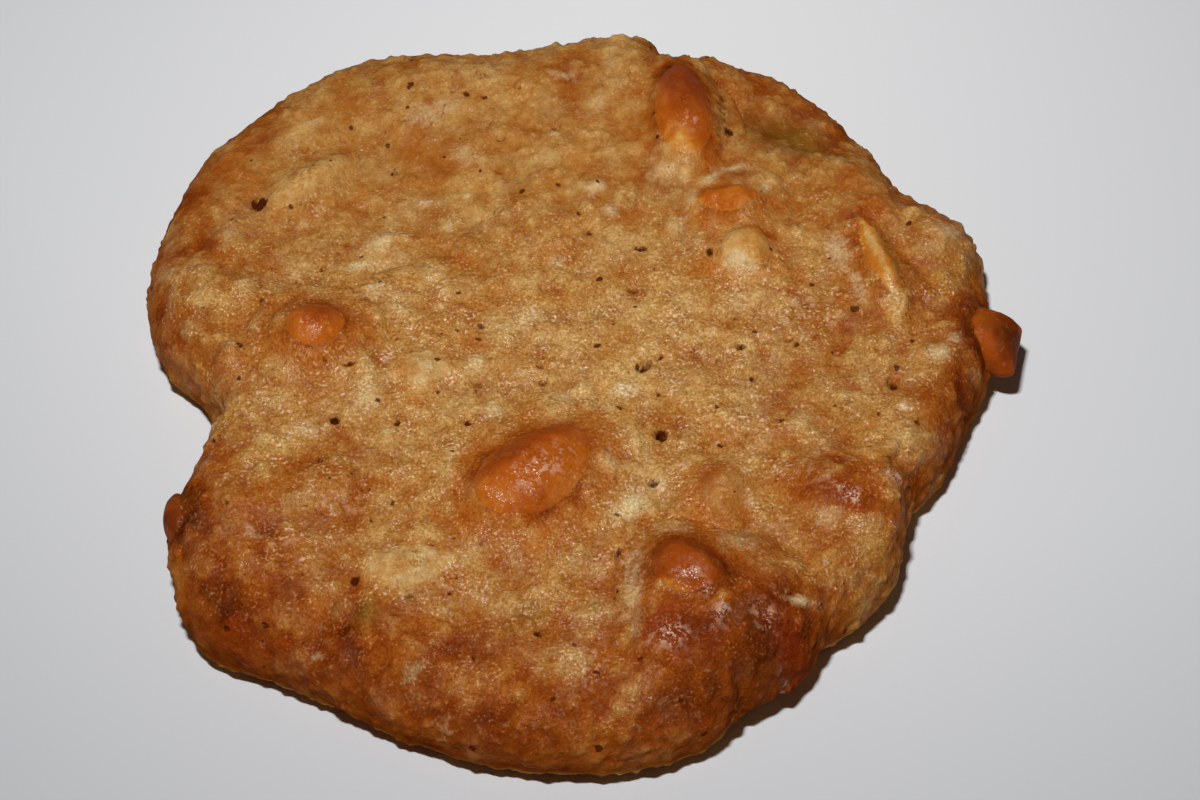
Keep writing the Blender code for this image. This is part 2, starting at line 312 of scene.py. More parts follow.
# Creases in the top: (start, end, sideways bow, half width, depth)
CREASES = (
    ((-26.9, 2.0), (-24.8, 4.6), 0.4, 0.45, 0.8),      # left side of the left peanut's dome
    ((-19.9, 5.9), (-15.0, 9.5), 1.4, 0.5, 0.4),       # arc round the pale patch beside it
    ((-15.4, 18.2), (-8.8, 18.0), 0.2, 0.7, 0.4),      # long soft fold, back left
    ((-26.9, 15.1), (-24.0, 15.6), -0.2, 0.4, 0.4),    # under the back left peanut
    ((-33.0, -3.5), (-31.0, -6.0), 0.3, 0.5, 0.6),     # fold at the left notch
    ((-26.3, -6.2), (-24.3, -6.4), -0.4, 0.3, 0.4),
    ((-23.9, -11.6), (-23.5, -14.6), -0.3, 0.35, 0.35),
    ((-12.3, -26.2), (-9.4, -27.8), -0.3, 0.3, 0.4),
    ((12.3, 21.0), (12.9, 29.5), 0.3, 0.8, 1.3),       # right wall of the back peanut
    ((16.8, 13.0), (17.0, 10.4), 0.3, 0.3, 0.4),
    ((21.3, 7.4), (23.2, 5.9), 0.0, 0.4, 0.4),
    ((27.6, 10.0), (30.4, 6.4), 0.2, 0.5, 0.5),        # behind the long flake
    ((18.8, -19.5), (19.6, -28.5), -1.0, 0.8, 0.3),    # fold behind the browned mound
    ((3.0, -20.5), (3.8, -30.5), 0.5, 0.5, 0.6),       # foot of the mound's left wall
    ((-20.5, -28.0), (-17.6, -25.0), 0.5, 0.5, 0.5),
    ((24.6, -14.4), (27.0, -9.5), -0.6, 0.4, 0.5),
    ((-22.3, -27.5), (-17.0, -29.5), 0.4, 0.35, 0.35),
    ((12.0, -31.6), (13.6, -34.6), 0.2, 0.45, 0.6),    # fold low in front of the mound
)

# Smaller lumps of the top: (x, y, along, across, turn, rise)
LUMPS = (
    (-30.4, -0.9, 1.8, 1.4, 20, 0.45), (-31.2, 13.1, 1.8, 1.3, 30, 0.35),
    (-29.4, 6.4, 1.4, 1.1, 40, 0.3), (-13.6, 26.7, 3.6, 1.8, 25, 0.4),
    (-10.6, 21.8, 2.2, 1.5, 0, 0.3), (-17.6, 12.0, 1.8, 1.3, 20, 0.3),
    (-18.0, 6.2, 2.0, 1.8, 0, 0.4), (-3.0, 12.0, 2.8, 2.2, 20, 0.35),
    (1.2, 17.5, 1.6, 1.1, 20, 0.4), (2.6, 14.8, 1.2, 1.0, 0, 0.35),
    (8.0, 13.0, 1.4, 1.2, 0, 0.35), (31.4, 12.2, 2.2, 2.0, 45, 0.8),
    (30.4, -0.6, 1.6, 1.3, 0, 0.4), (24.3, 19.0, 3.4, 1.6, -30, 0.5),
    (3.7, -4.4, 1.3, 0.8, 10, 0.35), (-7.6, -6.5, 1.3, 1.5, 0, 0.35),
    (-18.4, -5.2, 1.9, 2.6, 0, 0.35), (-21.2, -13.3, 2.4, 2.2, 0, 0.35),
    (8.6, -12.7, 1.1, 0.9, 0, 0.35), (16.8, -18.4, 2.2, 1.6, 40, 0.4),
    (20.4, -18.0, 1.6, 1.6, 0, 0.45), (25.9, -13.6, 1.5, 1.6, 0, 0.6),
    (22.2, -12.0, 2.6, 0.7, -45, 0.35), (17.4, -28.6, 2.2, 1.3, 45, 0.5),
    (-5.9, -29.0, 1.5, 1.1, 0, 0.3), (0.0, -31.6, 1.2, 2.0, 0, 0.35),
    (9.6, -35.2, 2.0, 1.2, 10, 0.5), (14.9, -27.0, 0.9, 0.9, 0, 0.4),
    (6.6, -28.0, 2.2, 2.2, 0, 0.35), (11.3, -27.4, 1.4, 1.0, 0, 0.35),
    (-22.0, 32.4, 2.2, 1.4, 30, 0.4), (16.8, 23.6, 3.6, 1.0, -30, 0.35),
    (17.8, -8.1, 1.6, 0.9, 20, 0.35), (29.8, -5.6, 1.2, 1.2, 0, 0.4),
    (-17.6, -27.0, 0.9, 1.4, 15, 0.35), (12.9, 17.4, 3.2, 2.2, 10, 0.8),
    (25.4, 14.8, 2.4, 2.2, 0, 0.6), (-29.8, -1.1, 1.6, 1.8, 0, 0.5),
)

# Raised (+) and sunken (-) areas with a fairly steep wall:
# (x, y, along, across, turn, rise, half width of the wall as a share)
TERRACES = (
    (11.6, -26.6, 8.2, 7.2, 0, 0.9, 0.13),      # browned mound, with its wall at the left
    (19.0, 29.0, 8.6, 6.4, -35, -0.9, 0.2),     # shelf at the back right
    (-22.0, 22.0, 18.0, 15.0, 25, -0.55, 0.08),  # back left, below the step across the top
    (-21.4, -13.4, 2.6, 2.2, 0, 0.25, 0.3),
    (31.6, 11.6, 3.0, 3.2, 30, 0.5, 0.3),       # lump on the right rim
    (22.6, -17.5, 5.5, 5.0, -30, 0.5, 0.25),    # right front lobe
)

# Unnamed relief that the dough and the nuts in it share: (noise, size, seed, rise)
RELIEF = (
    (gradient_noise, 3.4, 21, 0.30),    # lumps all over
    (bump_noise, 1.7, 22, 0.42),        # soft round bumps, like crumbs under the skin
    (bump_noise, 0.85, 23, 0.32),       # crumbs
)
EDGE_CRUMBS = (bump_noise, 1.15, 25, 0.42)   # these make the rim ragged at its widest line
EDGE_CRUMB_BAND = 1.3    # they reach this far above and below it
GRAIN = (gradient_noise, 0.5, 24, 0.08)      # the finest relief
BUMP_MIDDLE = 0.4        # mean height of the bump noise, which is taken off it
CALM_BACK = ((-20, 20, 20, 14, 20, 0.4),)    # soft spot at the back left where lumps are flatter
RIM_CALM = 0.35          # the lumps are this much flatter round the side of the rim
RIM_CALM_HEIGHTS = (8.0, 5.0)        # heights where that starts and is full
RIM_CALM_SHARES = (0.8, 0.95)        # and shares of the mean radius
FOOT_HEIGHT = 1.6        # below this height all relief fades, so that the base is flat

# Pores and terraces: ragged outlines, and the walls as shares of the oval
RAGGED_OUTLINE = ((0.7, 11, 0.25),)
TERRACE_RAGGED = 0.2     # the terraces take this share of it
PORE_SHARE = 0.8         # an open pore is this share of its oval in PORES
PORE_WALL = (1.5, 0.2)   # shares of the pore from its lip to its floor
PORE_SHADE = (1.9, 0.4)  # the dark of a pore reaches a little further than its wall
SHALLOW_SHADE = 0.45     # shade of the shallowest pore
SHADE_PER_DEPTH = 0.4    # more shade for each millimetre of depth, up to 1
CREASE_SHADE = (0.3, 1.2)        # depths between which a crease starts to show as a dark line
CREASE_SHADE_MOST = 0.5
CREASE_ENDS = ((-0.15, 0.2), (1.15, 0.8))    # shares of its length over which a crease runs out

# Skirts of dough up the peanuts: upward share of the surface where they start and are full
SKIRT_SLOPE = (0.3, 0.8)


def edge_distance(bearing):
    """Distance from the middle to the widest line, through EDGE in smooth cubic spans."""
    knots = np.array(EDGE, float)
    angles = np.concatenate([knots[-2:, 0] - 360, knots[:, 0], knots[:2, 0] + 360])
    reaches = np.concatenate([knots[-2:, 1], knots[:, 1], knots[:2, 1]])
    index = np.searchsorted(angles, bearing, side="right") - 1
    index = np.clip(index, 1, len(angles) - 3)
    a0, a1, a2, a3 = [angles[index + step] for step in (-1, 0, 1, 2)]
    r0, r1, r2, r3 = [reaches[index + step] for step in (-1, 0, 1, 2)]
    span = a2 - a1
    slope_1 = (r2 - r0) / (a2 - a0) * span
    slope_2 = (r3 - r1) / (a3 - a1) * span
    t = (bearing - a1) / span
    return (
        (2 * t**3 - 3 * t**2 + 1) * r1
        + (t**3 - 2 * t**2 + t) * slope_1
        + (3 * t**2 - 2 * t**3) * r2
        + (t**3 - t**2) * slope_2
    )


def crease_depth(x, y):
    """Depth of the named creases at each place."""
    depth = np.zeros(len(x))
    for start, end, bow, half_width, deep in CREASES:
        start = np.array(start)
        end = np.array(end)
        run = end - start
        length = np.linalg.norm(run)
        forward = run / length
        sideways = np.array([-forward[1], forward[0]])
        dx = x - start[0]
        dy = y - start[1]
        s = (dx * forward[0] + dy * forward[1]) / length
        off = dx * sideways[0] + dy * sideways[1] - 4 * bow * s * (1 - s)
        ends = smooth_step(*CREASE_ENDS[0], s) * smooth_step(*CREASE_ENDS[1], s)
        depth = np.maximum(depth, deep * ends * np.exp(-((off / half_width) ** 2)))
    return depth


def ring_and_bearing(a, b):
    """Concentric map of the square -1..1 to a disc: ring 0..1 and bearing in degrees."""
    wide = np.abs(a) >= np.abs(b)
    ring = np.where(wide, np.abs(a), np.abs(b))
    safe_a = np.where(a == 0, 1e-9, a)
    safe_b = np.where(b == 0, 1e-9, b)
    by_a = 45 * b / safe_a + np.where(a > 0, 0, 180)
    by_b = 90 - 45 * a / safe_b + np.where(b > 0, 0, 180)
    return ring, np.where(wide, by_a, by_b) % 360


def ring_sheet():
    """A grid for the top with rings below it for the underside. Rings carry their number in -z."""
    bm = bmesh.new()
    bmesh.ops.create_grid(bm, x_segments=TOP_CELLS, y_segments=TOP_CELLS, size=1.0)
    border = [edge for edge in bm.edges if edge.is_boundary]
    for step in range(UNDER_RINGS + len(BASE_SHARES)):
        made = bmesh.ops.extrude_edge_only(bm, edges=border)["geom"]
        for vert in [item for item in made if isinstance(item, bmesh.types.BMVert)]:
            vert.co.z = -(step + 1)
        edges = [item for item in made if isinstance(item, bmesh.types.BMEdge)]
        border = [edge for edge in edges if edge.is_boundary]
    bmesh.ops.triangle_fill(bm, edges=border, use_beauty=True)
    mesh = bpy.data.meshes.new("baked_dough")
    bm.to_mesh(mesh)
    bm.free()
    return mesh


def dough_form(sheet):
    """Smooth form of the dough: places, outward directions, bearings, and which lie underneath."""
    ring, bearing = ring_and_bearing(sheet[:, 0], sheet[:, 1])
    step = -sheet[:, 2]
    rim_turn = np.clip((ring - FLAT_RINGS_SHARE) / (1 - FLAT_RINGS_SHARE), 0, 1) * math.pi / 2
    flat = np.minimum(ring / FLAT_RINGS_SHARE, 1) * FLAT_SHARE
    share = flat + (1 - FLAT_SHARE) * np.sin(rim_turn)
    reach = edge_distance(bearing)
    radius = share * (MEAN_RADIUS + (reach - MEAN_RADIUS) * share**2)

    under_turn = np.clip(step / UNDER_RINGS, 0, 1) * math.pi / 2
    under = step > 0
    radius = np.where(under, reach - UNDERCUT * (1 - np.cos(under_turn)), radius)
    base_share = np.ones(len(step))
    for number, inner in enumerate(BASE_SHARES):
        base_share[step == UNDER_RINGS + number + 1] = inner
    radius = radius * base_share

    out_x = np.cos(np.radians(bearing))
    out_y = np.sin(np.radians(bearing))
    x = radius * out_x
    y = radius * out_y
    height = TOP_HEIGHT + soft_spots(x, y, SWELLS)
    top_z = BULGE_HEIGHT + (height - BULGE_HEIGHT) * np.cos(rim_turn)
    z = np.where(under, BULGE_HEIGHT * (1 - np.sin(under_turn)), top_z)
    turn = rim_turn + np.where(under, under_turn, 0)
    points = np.stack([x, y, z], axis=1)
    outward = np.stack([out_x * np.sin(turn), out_y * np.sin(turn), np.cos(turn)], axis=1)
    return points, outward, bearing, under


def nut_seats():
    """Middle, turn, half sizes and taper of every CAD kernel, the sizes measured on its mesh."""
    seats = {}
    for node, turn in NUT_TURNS.items():
        co = np.array([vert.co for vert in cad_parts[node].data.vertices]) / MM
        middle = (co.max(axis=0) + co.min(axis=0)) / 2
        turn = math.radians(turn)
        along = co[:, 0] * math.cos(turn) + co[:, 1] * math.sin(turn)
        across = co[:, 1] * math.cos(turn) - co[:, 0] * math.sin(turn)
        half = (np.ptp(along) / 2, np.ptp(across) / 2, np.ptp(co[:, 2]) / 2)
        seats[node] = (middle, turn, half, NUT_TAPERS.get(node, NUT_TAPER))
    return seats


def nut_frame(x, y, seat):
    """Places over a kernel in its own measure: u along and v across, 1 at its outline."""
    middle, turn, half, taper = seat
    dx = x - middle[0]
    dy = y - middle[1]
    u = (dx * math.cos(turn) + dy * math.sin(turn)) / half[0]
    v = (dy * math.cos(turn) - dx * math.sin(turn)) / half[1]
    narrowing = np.minimum(1 - taper * np.clip(u, -1, 1), 1 + NUT_TAPER)
    return u, v / narrowing, narrowing


def nut_reach(x, y, seat):
    """How far out each place is: 1 at a kernel's outline, then 1 more for each half width."""
    middle, _, half, _ = seat
    u, v, _ = nut_frame(x, y, seat)
    reach = np.hypot(u, v)
    away = np.hypot(x - middle[0], y - middle[1])
    beyond = away * (1 - 1 / np.maximum(reach, 1)) / half[1]
    return np.where(reach > 1, 1 + beyond, reach)


def skirt_height(x, y, seat, reach, start):
    """Height of the dough that climbs a kernel, over each place."""
    middle, _, half, _ = seat
    _, _, narrowing = nut_frame(x, y, seat)
    climb = 0.5 + 0.5 * np.cos(math.pi * np.minimum(reach / start, 1))
    return middle[2] + half[2] * narrowing * climb


def smooth_max(a, b, soft):
    """The higher of two heights, with a fillet `soft` wide where they cross."""
    h = np.clip(0.5 + 0.5 * (b - a) / soft, 0, 1)
    return a * (1 - h) + b * h + soft * h * (1 - h)


def risen(points, noise, size, seed, rise):
    """One layer of relief, in millimetres up and down from its middle."""
    middle = BUMP_MIDDLE if noise is bump_noise else 0.0
    return (noise(points, size, seed) - middle) * rise


def relief(points):
    """Unnamed lumps, bumps and grain that the dough and the nuts in it share."""
    bumps = sum(risen(points, *layer) for layer in RELIEF)
    out = np.hypot(points[:, 0], points[:, 1]) / MEAN_RADIUS
    side = smooth_step(*RIM_CALM_HEIGHTS, points[:, 2]) * smooth_step(*RIM_CALM_SHARES, out)
    calm = 1 - soft_spots(points[:, 0], points[:, 1], CALM_BACK)
    calm *= 1 - RIM_CALM * side
    return bumps * calm + risen(points, *GRAIN)


def shape_dough(sheet, seats):
    """Final places of the dough's points, with the masks that its material reads."""
    points, outward, bearing, under = dough_form(sheet)
    x = points[:, 0]
    y = points[:, 1]
    upper = np.where(under, 0.0, 1.0)
    ragged = noise_layers(points, RAGGED_OUTLINE)
    pore_depth = np.zeros(len(x))
    painted_hollow_shade = np.zeros(len(x))
    # Each pore is a dip with painted shade in it, darker the deeper it is and a little wider than
    # its wall
    for *oval, deep in PORES:
        oval[2] *= PORE_SHARE
        oval[3] *= PORE_SHARE
        reach = np.sqrt(squared_reach(x, y, *oval)) + ragged
        pore_depth = np.maximum(pore_depth, deep * smooth_step(*PORE_WALL, reach))
        shade = min(1.0, SHALLOW_SHADE + deep * SHADE_PER_DEPTH)
        painted_hollow_shade = np.maximum(painted_hollow_shade, smooth_step(*PORE_SHADE, reach) * shade)
    crease = crease_depth(x, y)

    unnamed = relief(points)
    named = soft_spots(x, y, LUMPS) - crease - pore_depth
    for *oval, rise, wall in TERRACES:
        reach = np.sqrt(squared_reach(x, y, *oval)) + TERRACE_RAGGED * ragged
        named += rise * smooth_step(1 + wall, 1 - wall, reach)
    push = unnamed + named * upper
    band = np.exp(-(((points[:, 2] - BULGE_HEIGHT) / EDGE_CRUMB_BAND) ** 2))
    push += risen(points, *EDGE_CRUMBS) * band
    push *= smooth_step(0.0, FOOT_HEIGHT, points[:, 2])
    placed = points + outward * push[:, None]
    placed[:, 2] = np.maximum(placed[:, 2], 0.0)
    for node, (soft, start) in SKIRTS.items():
        reach = nut_reach(x, y, seats[node])
        top = skirt_height(x, y, seats[node], reach, start)
        near = (reach < start) & (outward[:, 2] > SKIRT_SLOPE[0])
        climbed = smooth_max(placed[near, 2], top[near] + unnamed[near] * NUT_ROUGH, soft)
        share = smooth_step(*SKIRT_SLOPE, outward[near, 2])
        placed[near, 2] += (climbed - placed[near, 2]) * share
    masks = baked_masks(points, bearing, under, seats)
    # Painted shade and light: the tone darkens in the dips of the relief and pales on its bumps
    masks["tone"] = np.clip(masks["tone"] - PAINTED_RELIEF_SHADE * unnamed, 0, 1)
    # Painted shade in the pores and along the deeper creases
    lines = CREASE_SHADE_MOST * smooth_step(*CREASE_SHADE, crease)
    masks["painted_hollow_shade"] = (painted_hollow_shade + lines) * upper
    return placed, masks


# =====================================================================================
# How the cookie is baked: tone 0 is cream, 0.4 plain golden dough, 1 dark crust
# =====================================================================================

# Browning of the rim by bearing: (bearing, strength, share of the radius where it starts)
RIM_BAKE = (
    (0, 0.50, 0.88), (30, 0.30, 0.90), (50, 0.50, 0.88), (75, 0.35, 0.92), (100, 0.15, 0.93),
    (125, 0.30, 0.90), (150, 0.45, 0.84), (175, 0.50, 0.82), (190, 0.20, 0.90),
    (205, 0.52, 0.76), (225, 0.57, 0.62), (250, 0.60, 0.74), (275, 0.60, 0.74),
    (295, 0.22, 0.74), (315, 0.28, 0.80), (340, 0.44, 0.84), (360, 0.50, 0.88),
)

# (x, y, along, across, turn, amount) added to the tone
TONE_SPOTS = (
    (12.5, -29.0, 8.0, 6.0, 0, 0.34),      # browned mound
    (16.5, -28.5, 3.0, 4.0, 20, 0.16),
    (8.6, -29.0, 2.6, 5.0, 0, 0.08),
    (-28.0, -27.0, 7.0, 5.0, -35, 0.08),   # darkest crust, left front lobe
    (-26.0, -22.5, 9.0, 5.0, -30, 0.04),
    (18.8, -12.5, 2.6, 1.5, 10, 0.10),
    (22.4, -16.6, 4.0, 2.5, -38, -0.10),
    (29.8, -5.6, 1.8, 2.2, 0, 0.20),
    (32.6, -3.6, 1.6, 2.6, -20, 0.20),
    (18.5, 26.0, 7.5, 5.0, -35, 0.22),     # sunken shelf
    (25.5, 14.6, 2.6, 2.4, 0, 0.16),       # far end of the long flake
    (14.4, 18.4, 1.6, 1.0, 0, 0.12),
    (20.0, 14.0, 12.0, 8.0, -30, 0.02),
    (29.5, 8.0, 2.2, 3.0, 40, 0.12),
    (-30.0, 24.5, 3.0, 5.0, -40, 0.14),    # back left rim
    (-1.0, 30.5, 3.5, 1.8, 0, 0.08),
    (-20.0, 28.0, 3.0, 1.8, 0, 0.08),
    (-12.0, -9.0, 2.2, 1.6, 30, 0.08),
    (-9.0, -31.0, 6.0, 3.0, 0, 0.08),
    (9.8, -35.0, 2.6, 1.6, 0, 0.14),
    (-20.0, 21.0, 14.0, 9.0, 25, 0.06),
    (13.0, -5.0, 6.0, 4.0, 0, 0.05),
    (19.0, -20.0, 5.0, 3.0, 0, 0.06),
    (-27.0, 6.0, 7.0, 12.0, 10, 0.07),     # the left side is a little browner than the middle
    (25.0, 2.0, 7.0, 12.0, -10, 0.07),
    (-2.0, -28.0, 14.0, 6.0, 0, 0.10),
    (-20.0, -15.0, 9.0, 6.0, 0, 0.07),
    (10.0, -22.0, 8.0, 5.0, 0, 0.12),
    (15.0, -10.0, 5.0, 4.0, 0, 0.03),
    (26.0, -13.0, 3.0, 2.5, 0, 0.05),
    (7.0, -34.0, 4.0, 2.5, 0, -0.05),
    (-28.0, -23.5, 4.0, 4.0, 0, -0.04),
    (0.0, -4.0, 22.0, 18.0, 0, -0.10),     # the middle is the palest
)

# Flush bits of chopped nut and lean dough, paler than the rest, and one painted highlight
PALE_SPOTS = (
    (-13.4, 26.6, 3.4, 1.6, 25, 0.5), (-10.6, 21.8, 2.0, 1.4, 0, 0.4),
    (7.4, 19.4, 2.2, 1.6, 0, 0.5), (-17.6, 12.0, 2.0, 1.4, 20, 0.5),
    (-18.2, 6.0, 1.8, 1.6, 0, 0.5), (-19.7, 9.4, 1.8, 0.7, 5, 0.7),
    (-14.0, 16.4, 1.0, 0.8, 0, 0.5), (-11.8, 13.6, 0.9, 0.9, 45, 0.5),
    (-10.3, 17.2, 0.4, 0.4, 0, 0.9), (-2.6, 23.6, 0.5, 0.4, 0, 0.8),
    (1.2, 26.8, 1.8, 1.4, 0, 0.4), (-2.0, 30.4, 1.6, 0.7, 0, 0.5), (1.8, 32.0, 1.0, 0.7, 0, 0.4),
    (-24.1, 25.8, 1.0, 0.8, 0, 0.5), (-24.7, 14.1, 0.9, 0.7, 0, 0.4),
    (-31.0, 13.0, 1.6, 1.2, 0, 0.4), (-29.3, 6.4, 1.3, 1.0, 45, 0.4),
    (-2.2, 9.2, 0.9, 0.8, 0, 0.5), (-4.4, 3.2, 1.7, 1.4, 0, 0.5), (-9.2, -1.8, 1.0, 1.2, 0, 0.6),
    (-12.6, 4.4, 0.8, 0.7, 0, 0.4), (1.2, 17.4, 1.3, 0.8, 20, 0.8), (2.4, 14.8, 0.9, 0.8, 0, 0.6),
    (8.0, 13.0, 1.2, 1.0, 0, 0.5), (31.6, 12.0, 2.0, 1.8, 45, 0.5), (32.2, 1.2, 0.7, 0.7, 0, 0.6),
    (30.4, -0.6, 1.4, 1.1, 0, 0.8), (22.2, 10.2, 1.4, 2.4, 20, 0.6),
    (24.0, 6.6, 1.0, 1.8, 10, 0.6), (3.6, -4.7, 1.4, 0.8, 10, 1.0),
    (-18.4, -5.2, 1.7, 2.6, 0, 0.6), (-7.6, -6.6, 1.0, 1.4, 0, 0.7),
    (-1.5, -5.3, 0.9, 0.8, 0, 0.6), (-5.0, -2.8, 1.3, 1.0, 0, 0.5),
    (-23.4, -8.6, 1.4, 1.2, 0, 0.4), (-16.4, -8.8, 0.7, 0.5, 20, 0.7),
    (3.9, -16.6, 1.8, 1.3, 20, 0.6), (20.4, -18.0, 1.5, 1.5, 0, 0.45),
    (18.0, -8.3, 1.3, 0.7, 10, 0.5), (22.2, -12.2, 1.4, 0.5, -45, 0.5),
    (17.5, -25.8, 1.3, 0.45, 15, 1.0), (4.2, -25.0, 1.2, 5.0, 0, 0.5),
    (7.6, -19.6, 2.6, 1.2, 15, 0.35), (-27.1, -19.4, 1.1, 0.7, -30, 0.4),
    (-21.8, -30.0, 0.9, 0.4, 0, 0.4), (-0.2, -31.2, 1.2, 2.2, 0, 0.35),
    # the pale spot at (6.3, -14.1), in a pore, is a painted highlight
    (-11.2, -36.0, 1.4, 1.2, 0, 0.2), (6.3, -14.1, 0.9, 0.6, 0, 0.8),
    (14.1, -15.9, 1.0, 1.4, 0, 0.5), (16.2, -18.2, 1.6, 1.2, 0, 0.4),
    (9.8, 15.2, 0.9, 1.6, 20, 0.6), (11.2, 17.8, 1.6, 0.7, 45, 0.7),
    (13.4, 19.4, 2.0, 0.7, 8, 0.6), (16.2, 16.9, 0.7, 1.4, -20, 0.5),
    (4.4, -15.4, 1.4, 1.4, 0, 0.5), (-13.4, -31.8, 1.6, 1.2, 0, 0.3),
    (27.4, -6.2, 1.0, 0.6, 0, 0.5), (2.0, -12.0, 3.0, 2.4, 0, 0.25),
    (13.0, -20.5, 2.0, 2.0, 0, 0.4),
)

# Orange, well roasted places
GOLDEN_SPOTS = (
    (-27.4, -16.0, 2.4, 2.0, 0, 0.6), (9.9, -18.6, 2.6, 1.4, 0, 0.5),
    (-3.2, -24.2, 1.6, 1.1, 0, 0.6), (-14.2, -4.9, 1.2, 0.8, 0, 0.25),
    (-8.5, 0.4, 0.8, 0.9, 0, 0.7), (-3.0, 12.2, 3.0, 2.6, 20, 0.35),
    (-30.2, -1.4, 1.8, 1.6, 0, 0.5), (-22.0, -26.4, 1.4, 1.2, 0, 0.5),
    (28.4, 0.9, 1.4, 0.9, 0, 0.5), (21.4, -13.8, 2.6, 1.4, -20, 0.5),
    (25.4, 14.8, 2.8, 2.6, 0, 0.9), (13.2, 17.0, 2.4, 2.0, 0, 0.9),
    (-9.4, -19.0, 1.8, 1.4, 40, 0.8), (-3.1, -19.9, 2.4, 1.2, 10, 0.7),
    (-31.6, 22.5, 2.0, 5.0, -35, 0.4), (-13.9, -21.6, 1.0, 0.8, 0, 0.6),
    (-26.0, -24.0, 9.0, 6.0, -30, 0.15), (11.0, -29.0, 9.0, 6.0, 0, 0.2),
    (4.0, -33.0, 16.0, 4.0, 0, 0.2), (12.0, -14.4, 2.2, 2.8, 20, 0.9),
    (15.0, -10.0, 5.0, 4.0, 0, 0.35), (26.0, -13.0, 3.0, 2.5, 0, 0.4),
    (22.4, -16.6, 4.0, 2.5, -38, 0.3), (25.0, 12.0, 2.2, 2.2, 0, 0.5),
    (12.0, -21.0, 8.0, 4.0, 0, 0.4), (26.0, 8.0, 5.0, 5.0, 0, 0.2),
)

# Greenish brown, wet-looking hollows
OLIVE_SPOTS = (
    (-4.2, -26.8, 2.2, 1.3, 10, 0.8), (-17.6, -26.8, 1.2, 1.8, 10, 1.0),
    (12.9, -20.0, 1.8, 2.4, 20, 0.4), (1.1, -26.0, 0.8, 0.6, 0, 0.7),
    (19.0, 24.4, 5.5, 3.0, -35, 1.0), (-13.5, -31.8, 1.8, 1.2, 0, 0.5),
    (33.6, 9.5, 1.5, 3.0, 0, 0.5), (-9.4, 30.6, 1.8, 1.2, 30, 0.4),
    (-14.0, -25.2, 1.2, 0.7, 0, 0.5), (-5.9, -28.9, 1.2, 0.9, 0, 0.5),
    (18.3, 7.0, 1.5, 1.0, 0, 0.3),
)

# Red-brown, fully roasted places
RUDDY_SPOTS = (
    (6.6, -29.0, 2.8, 3.4, 0, 0.7), (16.6, -28.4, 2.2, 3.4, 35, 0.9), (11.0, -30.0, 4, 3, 0, 0.4),
    (10.6, -22.4, 2.4, 1.0, -30, 0.9), (22.4, -16.5, 2.8, 1.3, -40, 0.6),
    (9.8, -35.6, 2, 1.2, 0, 0.6), (-28.2, -27.6, 2.6, 2.0, -30, 0.7),
    (-24.0, -28.6, 1.6, 1.2, 0, 0.6), (9.4, 28.0, 2, 3, 6, 0.6), (-22.4, 1.8, 2.0, 1.6, 0, 0.7),
    (-4.4, -12.6, 4.4, 1.8, 42, 0.5), (-4.6, -17.6, 2.6, 0.8, 35, 0.4),
    (-36.2, 7.3, 1, 1.6, 0, 0.6), (25.2, 13.6, 1.4, 1.6, 0, 0.5),
    (22.6, 23.4, 2.2, 1.4, -40, 0.4), (-34.2, -15.6, 1, 2, 15, 0.5),
)

# Groups of painted glints and highlight blots, where the oil film is also thickest
SPARKLE_SPOTS = (
    (-3.0, -14.0, 3.6, 1.4, 40, 1.0), (6.9, -30.0, 2.0, 1.4, 0, 1.0),
    (11.3, -28.4, 1.1, 0.9, 0, 1.0), (14.7, -27.9, 1.1, 1.0, 0, 1.0),
    (9.0, -25.1, 1.3, 0.7, -35, 0.9), (10.4, -26.4, 0.9, 0.7, -35, 0.9),
    (9.3, 23.3, 1.0, 1.2, 0, 0.9), (8.8, 19.8, 1.0, 0.7, 0, 0.8), (-22.6, 0.4, 1.2, 0.8, 0, 0.8),
    (16.1, -30.6, 0.4, 0.4, 0, 0.9), (25.9, -13.6, 1.0, 0.8, 0, 1.0),
    (20.1, -11.1, 1.2, 0.8, 0, 0.9), (22.2, -16.1, 2.0, 0.8, -40, 1.0),
    (6.4, -14.2, 0.8, 0.6, 0, 1.0), (8.3, -12.5, 1.2, 0.6, 0, 0.8),
    (3.7, -4.4, 1.0, 0.6, 10, 0.8), (27.4, -6.2, 1.0, 0.6, 0, 0.9), (9.0, 0.4, 3.0, 2.0, 0, 0.5),
    (16.6, 3.6, 4.0, 3.0, 0, 0.35), (-2.6, 13.2, 0.8, 0.6, 0, 0.8), (32.1, 1.2, 0.7, 0.7, 0, 0.8),
    (-11.0, -22.4, 1.2, 0.7, 20, 0.7), (14.6, -7.4, 2.4, 1.6, 0, 0.5),
    (11.4, -9.6, 0.9, 0.7, 0, 0.8), (-17.0, -1.6, 2.0, 1.0, -40, 0.5),
    (-9.0, -24.5, 4.0, 2.0, 0, 0.4), (2.0, -22.0, 1.6, 3.0, 0, 0.4),
    (0.5, -32.0, 2.5, 3.0, 0, 0.5), (-25.0, -20.0, 5.0, 3.0, -30, 0.4),
    (18.6, -14.0, 2.4, 1.4, -30, 0.5), (20.6, 3.4, 4.0, 2.4, 0, 0.4),
    (-5.0, 2.6, 4.0, 2.0, 0, 0.3), (-20.4, -16.4, 2.4, 1.6, 0, 0.4),
)

PLAIN_TONE = 0.40
RIM_TONE = 0.6           # the tone that full browning adds to the rim
RIM_FULL = 1.05          # share of the radius where the browning is full
UNDER_BAKE = (0.8, 0.2)  # share of the browning at the rim's foot, and what its widest line adds
UNDER_SPOTS = 0.5        # share of the tone spots that reaches round to the underside
PAINTED_RELIEF_SHADE = 0.5        # painted shade and light: dips in the crumb are this much darker, bumps this much paler, for each millimetre of depth
BASE_TONE = 0.70
BASE_FADE = (1.2, 0.0)   # heights between which the underside turns to the base's tone
LIP_HEIGHT = 1.4         # a paler lip runs round the rim at this height
LIP_REACH = 0.7
LIP_PALER = 0.25

